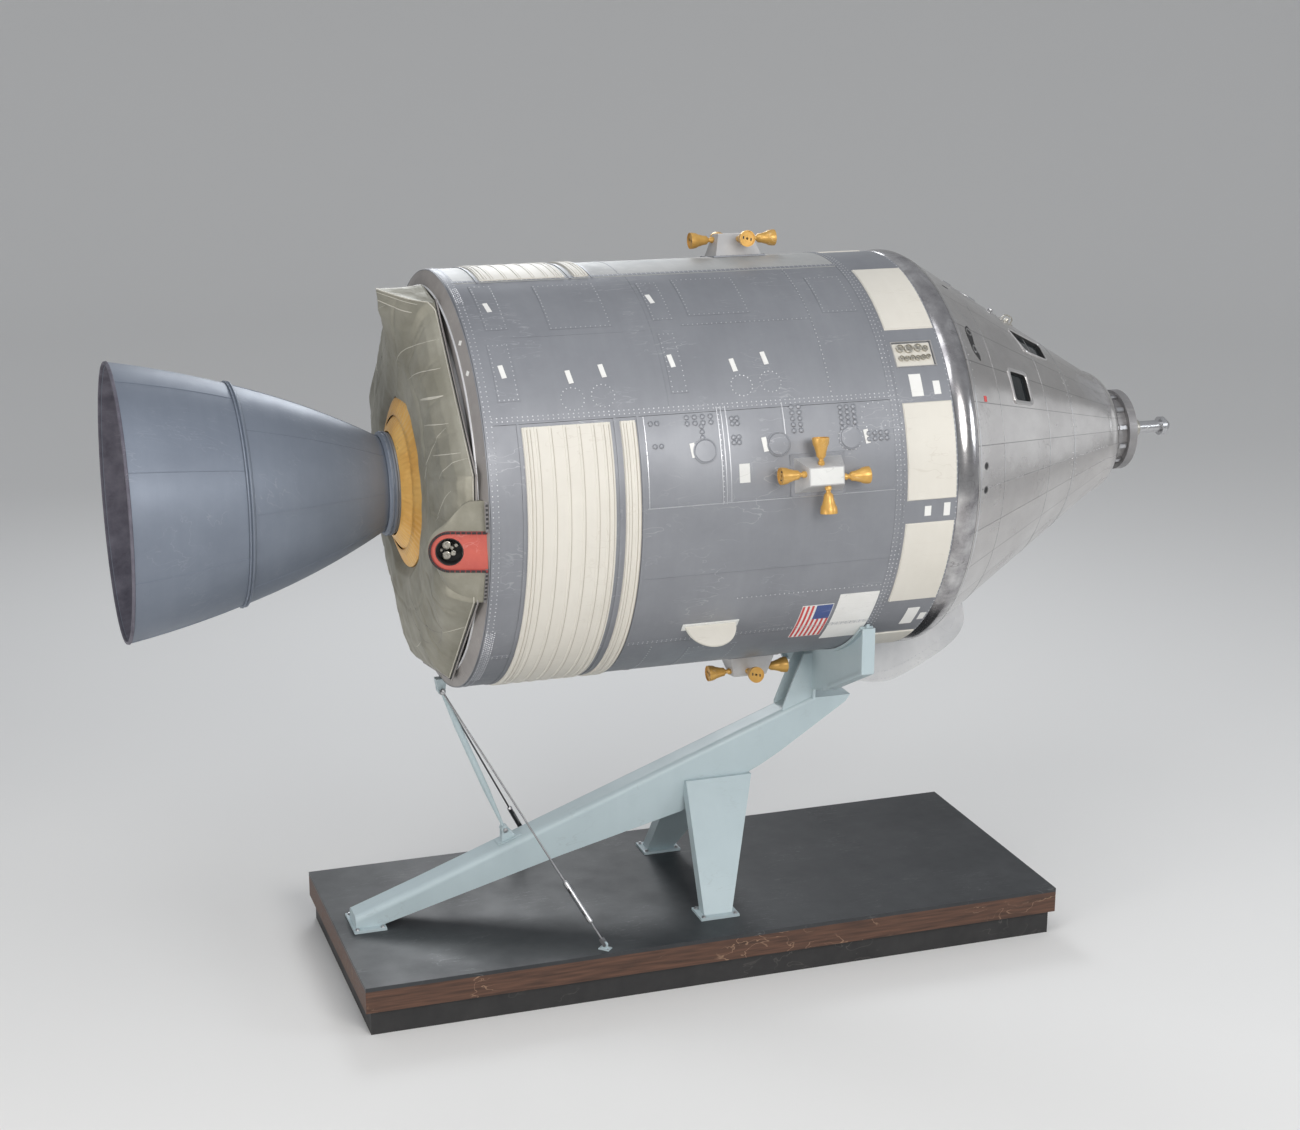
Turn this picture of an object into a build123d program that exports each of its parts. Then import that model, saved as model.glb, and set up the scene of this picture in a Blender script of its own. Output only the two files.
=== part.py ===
from build123d import *
import math
import os

os.makedirs("parts", exist_ok=True)

# Vehicle axis runs along X with the nose at +X; the engine nozzle exit is at x = 0 while modelling.
# Angles round the axis start at the top (+Z) and turn towards the -Y side.

# Service module
BODY_R = 1956.0
SKIN = 36.0
SKIRT_X = 2950.0
CLOSURE_X = 2894.0
CLOSURE_R = 1812.0
PANEL_X0 = 2962.0
PANEL_X1 = 6838.0
CORE_X0 = 2880.0
LEDGE_R = 1600.0
CORE_R = BODY_R - SKIN
SEAM_GAP = 4.0

# Fairing between service module and capsule
FAIR_X0 = 6842.0
FAIR_X1 = 7400.0
FAIR_R = 1944.0
FAIR_WALL = 22.0
FAIR_RAD_T = 14.0
FAIR_RAD_WIDTH = 26.6

# Capsule
CONE_DEG = 31.4
SHOULDER_X = 7520.0
SHOULDER_R = 196.0
SHIELD_SPHERE = 4694.0
SHIELD_T = 55.0
CABIN_WALL = 90.0
FORWARD_SEAM_X = 9145.0
CONE_END_X = 9730.0
APEX_ROUND_X = 9960.0
TUNNEL_R = 355.0
TUNNEL_WALL = 28.0
TUNNEL_X1 = 10200.0
DOCK_RING_R = 410.0
PROBE_TIP_X = 10800.0
PROBE_R = 62.0

# Main engine
EXIT_R = 1270.0
EXIT_RIM = 28.0
JOIN_X = 1040.0
JOIN_R = 1020.0
NECK_X = 2410.0
NECK_R = 444.0
BELL_WALL = 22.0
PIVOT_X = 3400.0
COLLAR_R = 1015.0
ENGINE_R = 300.0
BAY_R = 950.0
BAY_X1 = 4100.0
OPENING_R = 800.0

# Aft blanket: corner angles of its eight-sided rim, and the pod on its near side
CORNERS = [16, 76, 110, 153, 196, 256, 290, 333]
CORNER_R = 1915.0
FLAT_TAPER = 56.0
POD_ROOT = (2930.0, -1905.0, -205.0)
POD_TURN = 19.0
POD_L = 525.0
POD_R = 448.0
PLATE_HALF = 165.0
PLATE_L = 318.0
PLATE_T = 14.0
WELL_R = 122.0
WELL_DEPTH = 120.0

# Stand and plinth
DECK_Z = -4400.0
FLOOR_Z = -4900.0
DECK_X0 = 1846.0
DECK_X1 = 8972.0
DECK_HALF_Y = 1406.0
DECK_T = 40.0
TRIM_H = 255.0
BEAM_HALF_Y = 150.0

MID_X = PROBE_TIP_X / 2.0
SLOPE = math.tan(math.radians(CONE_DEG))
COS_A = math.cos(math.radians(CONE_DEG))
SIN_A = math.sin(math.radians(CONE_DEG))


def save(node, *solids):
    made = [Pos(-MID_X, 0, -FLOOR_Z) * s for s in solids]
    export_step(made[0] if len(made) == 1 else Compound(children=made), "parts/" + node + ".step")


def spun(outline, start=None, sweep=None):
    face = make_face(Polyline(*outline, close=True))
    if sweep is None:
        return revolve(face, Axis.X)
    return Rot(90 + start, 0, 0) * revolve(face, Axis.X, revolution_arc=sweep)


def spun_curve(edges):
    return revolve(make_face(edges), Axis.X)


def radial(angle):
    a = math.radians(angle)
    return Vector(0, -math.sin(a), math.cos(a))


def on_body(x, angle, radius):
    out = radial(angle)
    return Plane(origin=Vector(x, 0, 0) + out * radius, x_dir=(1, 0, 0), z_dir=out)


def cone_r(x):
    return CONE_R0 - (x - CONE_X0) * SLOPE


def on_cone(x, angle, lift=0.0):
    out = radial(angle)
    along = Vector(COS_A, 0, 0) - out * SIN_A
    normal = Vector(SIN_A, 0, 0) + out * COS_A
    return Plane(origin=Vector(x, 0, 0) + out * cone_r(x) + normal * lift, x_dir=along, z_dir=normal)


CONE_X0 = SHOULDER_X + SHOULDER_R * SIN_A
CONE_R0 = BODY_R - SHOULDER_R + SHOULDER_R * COS_A

# Plinth: kick base, timber trim and deck board
save("plinth_base", Pos((DECK_X0 + DECK_X1) / 2, 0, (FLOOR_Z + DECK_Z - TRIM_H) / 2) * Box(
    DECK_X1 - DECK_X0 - 100, 2 * DECK_HALF_Y - 100, DECK_Z - TRIM_H - FLOOR_Z))
trim = Pos((DECK_X0 + DECK_X1) / 2, 0, DECK_Z - (TRIM_H + DECK_T) / 2) * Box(
    DECK_X1 - DECK_X0, 2 * DECK_HALF_Y, TRIM_H - DECK_T)
save("plinth_trim", trim)
deck = Pos((DECK_X0 + DECK_X1) / 2, 0, DECK_Z - DECK_T / 2) * Box(
    DECK_X1 - DECK_X0, 2 * DECK_HALF_Y, DECK_T)
save("plinth_deck", deck)

# Stand beam: side outline (x, z) from the deck foot up to the head
FOOT_T = 25.0
beam_side = [
    (2020, -4375), (2020, -4262), (2680, -4030), (4140, -3490), (6730, -2530), (7190, -2530),
    (7140, -2600), (6430, -3060), (6220, -3180), (5360, -3580), (4090, -3890), (3680, -4000),
    (2280, -4375)]
beam_face = Plane.XZ * make_face(Polyline(*beam_side, close=True))
beam = extrude(beam_face, BEAM_HALF_Y, both=True)
beam = fillet(beam.edges().filter_by(lambda e: e.center().Z > -4250 and abs(e.center().Y) > BEAM_HALF_Y - 1
              and e.length > 600 and e.center().Z > -3560 + 0.37 * (e.center().X - 4140) - 120), 60)
save("stand_beam", beam)

# Stand legs: (x0, x1, y, half thickness, z) at the foot and at the beam
LEG_FOOT = (5330.0, 5620.0, 870.0, 75.0, DECK_Z + FOOT_T)
LEG_TOP = (5400.0, 6100.0, 120.0, 75.0, -3250.0)


def leg_section(x0, x1, y, half, z, side):
    outline = Polyline((x0, side * y - half), (x1, side * y - half), (x1, side * y + half),
                       (x0, side * y + half), close=True)
    return Plane.XY.offset(z) * make_face(outline)


legs = []
for side in (-1, 1):
    leg = loft([leg_section(*LEG_FOOT, side), leg_section(*LEG_TOP, side)]) - beam
    legs.append(max(leg.solids(), key=lambda s: s.volume))
save("stand_legs", *legs)

# Foot plates on the deck: x centre, y centre, length, width
FOOT_PLATES = [(2150, 0, 320, 460), (5475, -870, 400, 290), (5475, 870, 400, 290)]
save("foot_plates", *[Pos(x, y, DECK_Z + FOOT_T / 2) * Box(length, width, FOOT_T)
                      for x, y, length, width in FOOT_PLATES])

# Saddle at the stand head: web plate (y, z) under the hull, edge flange and gussets
WEB_X = 6790.0
WEB_T = 30.0
FLANGE_W = 130.0
SADDLE_IN = BODY_R + 6
side_pts = [(-520, -2300), (-1400, -1860), (-1400, -1380)]
web = Plane.YZ.offset(WEB_X) * make_face(Polyline(
    (-150, -2540), (-150, -2440), *side_pts, (1400, -1380), (1400, -1860), (520, -2300), (150, -2440),
    (150, -2540), close=True))
web = extrude(web, WEB_T / 2, both=True) - Pos(WEB_X, 0, 0) * Rot(0, 90, 0) * Cylinder(SADDLE_IN, 400)
web = web - beam
pad = spun([(WEB_X - FLANGE_W / 2, SADDLE_IN), (WEB_X + FLANGE_W / 2, SADDLE_IN),
            (WEB_X + FLANGE_W / 2, SADDLE_IN + 24), (WEB_X - FLANGE_W / 2, SADDLE_IN + 24)], 136, 88)
edge_run = Plane.YZ.offset(WEB_X) * make_face(Polyline(
    (-520, -2300), (-1400, -1860), (-1400, -1420), (-1424, -1420), (-1424, -1876), (-528, -2326),
    close=True))
near_edge = extrude(edge_run, FLANGE_W / 2, both=True)
far_edge = near_edge.mirror(Plane.XZ)
saddle = web + pad + near_edge + far_edge
saddle = saddle - beam
save("saddle", max(saddle.solids(), key=lambda s: s.volume))

gusset_side = [(WEB_X - WEB_T / 2, -2500), (WEB_X - WEB_T / 2, -2060), (WEB_X - 110, -2060),
               (WEB_X - 330, -2600), (WEB_X - 330, -2720), (WEB_X - WEB_T / 2, -2620)]
gussets = []
for side in (-1, 1):
    plate_face = make_face(Polyline(*gusset_side, close=True))
    plate = extrude(Plane.XZ.offset(side * -110) * plate_face, 12, both=True)
    plate = plate - beam - saddle - Pos(WEB_X, 0, 0) * Rot(0, 90, 0) * Cylinder(SADDLE_IN + 26, 1200)
    gussets.append(max(plate.solids(), key=lambda s: s.volume))
save("head_gussets", *gussets)

# Rear strut between the hull skirt and the beam: spindle rod with a flat eye at each end
STRUT_TOP = Vector(2950, 0, -2075)
STRUT_END = Vector(3560, 0, -3590)
STRUT_R = 32.0
STRUT_NECK_R = 16.0
EYE_R = 36.0
EYE_T = 32.0
PIN_R = 18.0
strut_dir = (STRUT_END - STRUT_TOP).normalized()
strut_plane = Plane(origin=STRUT_TOP, x_dir=(0, 1, 0), z_dir=strut_dir)
strut_len = (STRUT_END - STRUT_TOP).length
strut_side = [(0, 30), (STRUT_NECK_R, 30), (STRUT_NECK_R, 90), (STRUT_R, 420), (STRUT_R, strut_len - 480),
              (STRUT_NECK_R, strut_len - 90), (STRUT_NECK_R, strut_len - 30), (0, strut_len - 30)]
strut = revolve(Plane.XZ * make_face(Polyline(*strut_side, close=True)), Axis.Z)
for z in (0, strut_len):
    strut = strut + Pos(0, 0, z) * Rot(0, 90, 0) * Cylinder(EYE_R, EYE_T)
for z in (0, strut_len):
    strut = strut - Pos(0, 0, z) * Rot(0, 90, 0) * Cylinder(PIN_R + 1, 2 * EYE_T)
rod = strut_plane * strut
save("rear_strut", rod)

# Fork brackets for the strut eyes: two tapered cheeks on a root block, and the pin through them
FORK_W = 96.0


def fork(reach, root_half, pin_length):
    web = Polyline((-34, 0), (-root_half, reach), (root_half, reach), (34, 0), close=True)
    side = make_face(web) + Circle(38)
    cheeks = extrude(Plane.XZ * side, FORK_W / 2, both=True)
    slot = Pos(0, 0, -10) * Box(4 * root_half, EYE_T + 6, 2 * EYE_R + 40)
    return cheeks - slot + Rot(90, 0, 0) * Cylinder(PIN_R, pin_length)


STAY_TOP_Y = 78.0
base_plate = Pos(0, 0, 114) * Box(250, 150, 28)
lug_top = Pos(STRUT_TOP.X, 0, STRUT_TOP.Z) * fork(150, 60, 2 * STAY_TOP_Y + 30)
lug_low = Pos(STRUT_END.X, 0, STRUT_END.Z) * Rot(0, 160, 0) * (fork(150, 96, FORK_W + 16) + base_plate)
lug_top = lug_top - Pos(3500, 0, 0) * Rot(0, 90, 0) * Cylinder(BODY_R + 2, 1400)
lug_low = lug_low - beam
save("strut_brackets", lug_top, max(lug_low.solids(), key=lambda s: s.volume))

# Stay rods from the strut pin to the deck eyes, each in two lengths joined by a turnbuckle
EYE = Vector(4190, 1300, DECK_Z)
EYE_H = 46.0
LUG_T = 24.0
LUG_R = 26.0
LUG_PIN_R = 8.0
TURN_R = 26.0
TURN_L = 440.0
TURN_CAP = 65.0
STAY_R = 9.0
ROD_IN = 120.0
cross_pin = Rot(0, 90, 0)
stays, turnbuckles, eyes = [], [], []
for side in (-1, 1):
    top = Vector(STRUT_TOP.X, side * STAY_TOP_Y, STRUT_TOP.Z)
    foot = Vector(EYE.X, side * EYE.Y, EYE.Z + EYE_H)
    run = (foot - top).normalized()
    line = Plane(origin=top, x_dir=Vector(0, 0, 1).cross(run), z_dir=run)
    length = (foot - top).length
    low = length - TURN_L - 260
    high_rod = line * Pos(0, 0, (27 + low + ROD_IN) / 2) * Cylinder(STAY_R, low + ROD_IN - 27)
    ring = Pos(*top) * Rot(90, 0, 0) * (Cylinder(PIN_R + 12, 16) - Cylinder(PIN_R + 1, 40))
    stays.append(high_rod + ring)
    rod_from = low + TURN_L - ROD_IN
    low_rod = Pos(0, 0, (rod_from + length - 60) / 2) * Cylinder(STAY_R, length - 60 - rod_from)
    jaw = Pos(0, 0, length - 34) * Box(LUG_T + 24, 34, 68)
    jaw = jaw + Pos(0, 0, length) * cross_pin * Cylinder(17, LUG_T + 24)
    jaw = jaw - Pos(0, 0, length + 4) * Box(LUG_T + 4, 90, 2 * LUG_R + 16)
    jaw_pin = Pos(0, 0, length) * cross_pin * Cylinder(LUG_PIN_R, LUG_T + 24)
    stays.append(line * (low_rod + jaw + jaw_pin))
    barrel = Cylinder(TURN_R, TURN_L) - Box(4 * TURN_R, 22, TURN_L - 2 * TURN_CAP)
    barrel = barrel - Cylinder(STAY_R + 1, TURN_L)
    turnbuckles.append(line * Pos(0, 0, low + TURN_L / 2) * barrel)
    hole = Pos(0, 0, EYE_H) * Rot(90, 0, 0) * Cylinder(LUG_PIN_R + 1, 4 * LUG_T)
    lug = Pos(0, 0, EYE_H / 2) * Box(2 * LUG_R, LUG_T, EYE_H)
    lug = lug + Pos(0, 0, EYE_H) * Rot(90, 0, 0) * Cylinder(LUG_R, LUG_T)
    heading = math.degrees(math.atan2(run.Y, run.X))
    eye = Pos(0, 0, 6) * Box(110, 76, 12) + lug - hole
    eyes.append(Pos(foot.X, foot.Y, DECK_Z) * Rot(0, 0, heading) * eye)
save("stay_rods", *stays)
save("turnbuckles", *turnbuckles)
save("deck_eyes", *eyes)

# Service module core with the engine bay, its skirt and six bay panels
SEAT_POSTS = 6
bay_wall = spun([(CORE_X0, BAY_R), (CORE_X0, LEDGE_R), (PANEL_X0, LEDGE_R), (PANEL_X0, CORE_R),
                 (BAY_X1, CORE_R), (BAY_X1, BAY_R)])
TRUNNION_R = 46.0
for side in (-1, 1):
    bay_wall = bay_wall + Pos(PIVOT_X, side * 800, 0) * Box(200, 320, 220)
bay_wall = bay_wall - Pos(PIVOT_X, 0, 0) * Rot(90, 0, 0) * Cylinder(TRUNNION_R, 1700)
save("engine_bay_wall", max(bay_wall.solids(), key=lambda s: s.volume))
core = spun([(BAY_X1, 0), (BAY_X1, CORE_R), (FAIR_X0, CORE_R), (FAIR_X0, 0)])
for i in range(SEAT_POSTS):
    core = core + on_body(FAIR_X0 + 150, 30 + i * 360 / SEAT_POSTS, 1500) * Box(600, 90, 90)
dish_x = SHOULDER_X + math.sqrt((SHIELD_SPHERE - SHOULDER_R) ** 2 - (BODY_R - SHOULDER_R) ** 2)
core = core - Pos(dish_x, 0, 0) * Sphere(SHIELD_SPHERE + 2)
save("service_core", max(core.solids(), key=lambda s: s.volume))

skirt_x1 = PANEL_X0 - SEAM_GAP
skirt = spun([(SKIRT_X, BODY_R), (skirt_x1, BODY_R), (skirt_x1, CORE_R), (CLOSURE_X + 24, CLOSURE_R - 12),
              (CLOSURE_X, CLOSURE_R - 12), (CLOSURE_X, CLOSURE_R), (SKIRT_X, BODY_R - 8)])

# Bay panels: start angle, sweep
BAYS = [(13.8, 50), (63.8, 70), (133.8, 60), (193.8, 50), (243.8, 70), (313.8, 60)]
gap_deg = math.degrees(SEAM_GAP / BODY_R)
save("bay_panels", *[spun([(PANEL_X0, CORE_R), (PANEL_X0, BODY_R), (PANEL_X1, BODY_R), (PANEL_X1, CORE_R)],
                          start + gap_deg / 2, sweep - gap_deg) for start, sweep in BAYS])

# Space radiators on the long bays: x start, x end, start angle, sweep
RAD_T = 14.0
RADIATORS = [(3290, 4095, 63.8, 130), (4180, 4320, 63.8, 130),
             (3290, 4095, 243.8, 130), (4180, 4320, 243.8, 130)]
radiators = []
for x0, x1, start, sweep in RADIATORS:
    outline = [(x0, BODY_R), (x0 + 8, BODY_R + RAD_T), (x1 - 8, BODY_R + RAD_T), (x1, BODY_R)]
    radiators.append(spun(outline, start + 1, sweep - 2))
save("space_radiators", *radiators)

# Thruster quads: angle round the hull
QUAD_X = 6000.0
QUADS = [-7.8, 82.2, 172.2, 262.2]
QUAD_H = 210.0
QUAD_BASE_L = 470.0
QUAD_BASE_W = 330.0
# Horn outline as (radius, distance from the root): mounting neck, throat, flared cup and capped mouth
HORN = [(0, 0), (24, 0), (30, 12), (30, 34), (21, 44), (21, 60), (42, 82), (47, 120), (56, 150), (60, 168),
        (72, 190), (78, 228), (78, 250), (70, 250), (70, 240), (12, 240), (12, 210), (0, 210)]
horn = revolve(make_face(Polyline(*HORN, close=True)), Axis.Y)
housings, horns = [], []
for angle in QUADS:
    base = on_body(QUAD_X, angle, BODY_R - 12)
    body = loft([base * Rectangle(QUAD_BASE_L, QUAD_BASE_W), base.offset(QUAD_H + 12) * Rectangle(340, 165)])
    body = body - Pos(QUAD_X, 0, 0) * Rot(0, 90, 0) * Cylinder(BODY_R, 900)
    housings.append(body)
    # Horn directions in the quad plane: turn, offset along x, offset across, start distance
    for turn, dx, dy, start in ((90, 0, 24, 176), (-90, 0, -24, 176), (0, -30, 0, 92), (180, 30, 0, 92)):
        place = base.offset(QUAD_H - 52 + 12) * Pos(dx, dy, 0) * Rot(0, 0, turn) * Pos(0, start, 0)
        horns.append(place * horn - body)
save("quad_housings", *housings)
save("quad_horns", *[max(h.solids(), key=lambda s: s.volume) for h in horns])

# Scimitar antennas: half-round fins on the lower near side and the upper far side
FIN_X = 5125.0
FIN_R = 245.0
fins = []
for angle in (127, 307):
    place = on_body(FIN_X, angle, BODY_R + 1)
    fin_face = make_face(Line((-FIN_R, 0), (FIN_R, 0)) + ThreePointArc((FIN_R, 0), (0, 240), (-FIN_R, 0)))
    fins.append(place * extrude(Plane.XZ * fin_face, 10, both=True))
save("scimitar_antennas", *fins)

# Fairing ring, its radiators (centre angles) and the connector recess
FAIR_CENTRES = [29.8, 78.3, 111.4, 156.4, 209.8, 258.3, 291.4, 336.4]
fair = spun([(FAIR_X0 + 2, FAIR_R - FAIR_WALL), (FAIR_X0 + 2, FAIR_R), (FAIR_X1, FAIR_R),
             (FAIR_X1, FAIR_R - FAIR_WALL)])
recess = on_body(7110, 51, FAIR_R) * Box(390, 250, 40)
fair = fair - recess
save("fairing_ring", fair)
save("fairing_radiators", *[spun([(FAIR_X0 + 50, FAIR_R), (FAIR_X0 + 50, FAIR_R + FAIR_RAD_T),
                                  (FAIR_X1 - 14, FAIR_R + FAIR_RAD_T), (FAIR_X1 - 14, FAIR_R)],
                                 centre - FAIR_RAD_WIDTH / 2, FAIR_RAD_WIDTH) for centre in FAIR_CENTRES])
# Connectors in the recess: along x, across, radius
PLUGS = [(-120, 60, 32), (-35, 55, 36), (60, 60, 32), (130, 50, 24), (-130, -40, 18), (-75, -45, 18),
         (-20, -40, 18), (35, -45, 18), (90, -40, 18), (140, -35, 18)]
recess_floor = on_body(7110, 51, FAIR_R - 20)
save("umbilical_connectors", *[recess_floor * Pos(x, y, 16) * Cylinder(r, 32) for x, y, r in PLUGS])

# Aft blanket: dome round the engine opening, drawn down in flats to an eight-sided rim
rim_x = CORE_X0 - 2
dome_x = 2600.0
blanket = spun([(2655, OPENING_R), (dome_x, 900), (2620, 1250), (2700, 1650), (2790, 1850), (2870, 1935),
                (rim_x, 1935), (rim_x, 1500), (2760, OPENING_R + 60)])
rim_pts = [(radial(a).Y * CORNER_R, radial(a).Z * CORNER_R) for a in CORNERS]
rim_face = make_face(Polyline(*rim_pts, close=True))
rim_plane = Plane(origin=(rim_x - 6, 0, 0), x_dir=(0, 1, 0), z_dir=(-1, 0, 0))
flats_face = make_face(Polyline(*[(y, -z) for y, z in rim_pts], close=True))
flats = extrude(rim_plane * flats_face, rim_x - 6 - dome_x, taper=FLAT_TAPER)
blanket = blanket & (flats + extrude(Plane.YZ.offset(rim_x - 6) * rim_face, 10))

# Horn at the top of the blanket: three side sections (x, z), the middle one drawn out to the tip
HORN_SECTIONS = [
    (-560, [(2800, 1640), (2800, 1790), (2845, 1822), (2845, 1600), (2800, 1570), (2780, 1560)]),
    (30, [(2450, 1690), (2450, 1830), (2845, 1935), (2845, 1600), (2700, 1560), (2560, 1480)]),
    (860, [(2810, 1560), (2810, 1700), (2845, 1725), (2845, 1500), (2810, 1480), (2790, 1470)])]
fold = loft([Plane.XZ.offset(-y) * make_face(Polyline(*outline, close=True)) for y, outline in HORN_SECTIONS],
            ruled=True)
blanket = blanket + fold

# Pod under the blanket on the near side: turned half-shell behind a flat plate that faces outwards
pod_axis = Vector(-math.cos(math.radians(POD_TURN)), math.sin(math.radians(POD_TURN)), 0)
pod_plane = Plane(origin=POD_ROOT, x_dir=pod_axis, z_dir=Vector(0, 0, 1).cross(pod_axis))
POD_INSET = 60.0
pod_side = Spline((POD_L, 0), (505, 100), (440, 176), (370, 222), (270, 330), (150, POD_R - 6), (0, POD_R),
                  tangents=[(0, 1), (-1, 0)])
pod_half = make_face(pod_side + Polyline((0, POD_R), (-POD_INSET, POD_R), (-POD_INSET, 0), (POD_L, 0)))
pod = revolve(pod_half, Axis.X) - Pos(0, 0, 500) * Box(2000, 2000, 1000)
hull_limit = Pos(2600, 0, 0) * Rot(0, 90, 0) * Cylinder(BODY_R - 14, 2 * (SKIRT_X - 4 - 2600))
inner_room = spun([(rim_x, 0), (rim_x, LEDGE_R + 4), (PANEL_X0, LEDGE_R + 4), (PANEL_X0, 0)])
pod = ((pod_plane * pod) & hull_limit) - inner_room

# Plate on the pod: straight-sided with a round end, and a round well for the connectors
plate_side = (Line((-POD_INSET, -PLATE_HALF), (PLATE_L, -PLATE_HALF))
              + ThreePointArc((PLATE_L, -PLATE_HALF), (PLATE_L + PLATE_HALF, 0), (PLATE_L, PLATE_HALF))
              + Polyline((PLATE_L, PLATE_HALF), (-POD_INSET, PLATE_HALF), (-POD_INSET, -PLATE_HALF)))
plate = extrude(pod_plane.offset(-PLATE_T) * make_face(plate_side), 2 * PLATE_T)
well = pod_plane * Pos(PLATE_L, 0, -WELL_DEPTH / 2) * Cylinder(WELL_R, WELL_DEPTH + 2 * PLATE_T)
plate = (plate & hull_limit) - well
plate = max(plate.solids(), key=lambda s: s.volume)
save("antenna_recess", plate)
blanket = blanket + pod - plate - well
save("aft_blanket", max(blanket.solids(), key=lambda s: s.volume))
skirt = skirt - pod - plate
save("aft_skirt", max(skirt.solids(), key=lambda s: s.volume))

# Main engine: bell in two lengths, flanges, collar, chamber and gimbal ring
ext_x0 = EXIT_RIM + 2
ext_r0 = EXIT_R - 6
ext = (ThreePointArc((ext_x0, ext_r0), (530, 1160), (JOIN_X, JOIN_R))
       + Line((JOIN_X, JOIN_R), (JOIN_X, JOIN_R - BELL_WALL))
       + ThreePointArc((JOIN_X, JOIN_R - BELL_WALL), (528, 1160 - BELL_WALL), (ext_x0, ext_r0 - BELL_WALL))
       + Line((ext_x0, ext_r0 - BELL_WALL), (ext_x0, ext_r0)))
save("nozzle_extension", spun_curve(ext))
save("nozzle_exit_rim", spun([(0, EXIT_R - 26), (0, EXIT_R), (EXIT_RIM, EXIT_R + 4),
                              (EXIT_RIM, EXIT_R - 26)]))
save("nozzle_joint_ring", spun([(JOIN_X + 2, JOIN_R - 26), (JOIN_X + 2, JOIN_R + 16), (JOIN_X + 66, JOIN_R),
                                (JOIN_X + 66, JOIN_R - 48)]))
bell_x0 = JOIN_X + 68
bell = (ThreePointArc((bell_x0, JOIN_R - 18), (1780, 755), (NECK_X, NECK_R))
        + Line((NECK_X, NECK_R), (NECK_X, NECK_R - 2 * BELL_WALL))
        + ThreePointArc((NECK_X, NECK_R - 2 * BELL_WALL), (1772, 755 - BELL_WALL),
                        (bell_x0, JOIN_R - 18 - BELL_WALL))
        + Line((bell_x0, JOIN_R - 18 - BELL_WALL), (bell_x0, JOIN_R - 18)))
save("nozzle_bell", spun_curve(bell))
save("neck_flange", spun([(NECK_X + 2, 380), (NECK_X + 2, 462), (NECK_X + 30, 486), (NECK_X + 84, 486),
                          (NECK_X + 84, 380)]))


def on_ball(radius, deg):
    a = math.radians(deg)
    return (PIVOT_X - radius * math.cos(a), radius * math.sin(a))


COLLAR_T = 14.0
collar = (ThreePointArc(on_ball(COLLAR_R, 26), on_ball(COLLAR_R, 36), on_ball(COLLAR_R, 46))
          + Line(on_ball(COLLAR_R, 46), on_ball(COLLAR_R - COLLAR_T, 46))
          + ThreePointArc(on_ball(COLLAR_R - COLLAR_T, 46), on_ball(COLLAR_R - COLLAR_T, 36),
                          on_ball(COLLAR_R - COLLAR_T, 26))
          + Line(on_ball(COLLAR_R - COLLAR_T, 26), on_ball(COLLAR_R, 26)))
collar = spun_curve(collar) - spun([(NECK_X, 0), (NECK_X, 488), (NECK_X + 86, 488), (NECK_X + 86, 0)])
lip = on_ball(COLLAR_R + 12, 37.5)
save("boot_ring", spun([lip, (lip[0] - 10, lip[1] + 12), (2640, OPENING_R - 4), (2664, OPENING_R - 4),
                        (lip[0] + 18, lip[1] + 30)]))
chamber = spun([(NECK_X + 86, 0), (NECK_X + 86, 360), (NECK_X + 200, 260), (2900, 210), (3100, ENGINE_R),
                (3850, ENGINE_R), (3850, 0)])
throat = spun([(NECK_X + 80, 0), (NECK_X + 80, 335), (NECK_X + 200, 235), (2860, 170), (2950, 170),
               (2950, 0)])
neck_disc = spun([(NECK_X + 86, 340), (NECK_X + 86, 470), (NECK_X + 108, 470), (NECK_X + 108, 340)])
engine = chamber + neck_disc - throat - Pos(PIVOT_X, 0, 0) * Cylinder(46, 2000)
save("engine_block", engine)
collar = collar - engine
save("boot_collar", max(collar.solids(), key=lambda s: s.volume))
ring = spun([(PIVOT_X - 60, 430), (PIVOT_X - 60, 490), (PIVOT_X + 60, 490), (PIVOT_X + 60, 430)])
for side in (-1, 1):
    ring = ring + Pos(PIVOT_X, side * 570, 0) * Rot(90, 0, 0) * Cylinder(40, 180)
    ring = ring + Pos(PIVOT_X, 0, side * 345) * Cylinder(40, 190)
save("gimbal_ring", ring)

# Umbilical housing under the fairing and capsule: side outline (x, z)
UMB_HALF = 160.0
umb_back = Spline((6960, -2330), (7430, -2425), (7590, -2430), (7810, -2360), (8040, -2250), (8260, -2120),
                  (8400, -1980), (8445, -1840))
umb_front = Polyline((8445, -1840), (8400, -1600), (8330, -1440), (7630, -1890), (7560, -1990), (6960, -1990),
                     (6960, -2330))
umb = extrude(Plane.XZ * make_face(umb_back + umb_front), UMB_HALF, both=True)
umb = umb - Pos(7100, 0, 0) * Rot(0, 90, 0) * Cylinder(BODY_R + 4, 1200)
umb = umb - spun([(7400, 0), (7400, BODY_R + 5), (SHOULDER_X + 20, BODY_R + 5), (CONE_X0 + 4, CONE_R0 + 5),
                  (9000, cone_r(9000) + 6), (9000, 0)]) - saddle
save("umbilical_housing", max(umb.solids(), key=lambda s: s.volume))

# Capsule: aft heat shield, crew shell, forward shield
bulb_deg = math.degrees(math.atan2(BODY_R - SHOULDER_R, dish_x - SHOULDER_X))


def on_shoulder(radius, deg):
    a = math.radians(deg)
    return (SHOULDER_X + radius * math.sin(a), BODY_R - SHOULDER_R + radius * math.cos(a))


def on_dish(radius, deg):
    a = math.radians(deg)
    return (dish_x - radius * math.cos(a), radius * math.sin(a))


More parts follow.
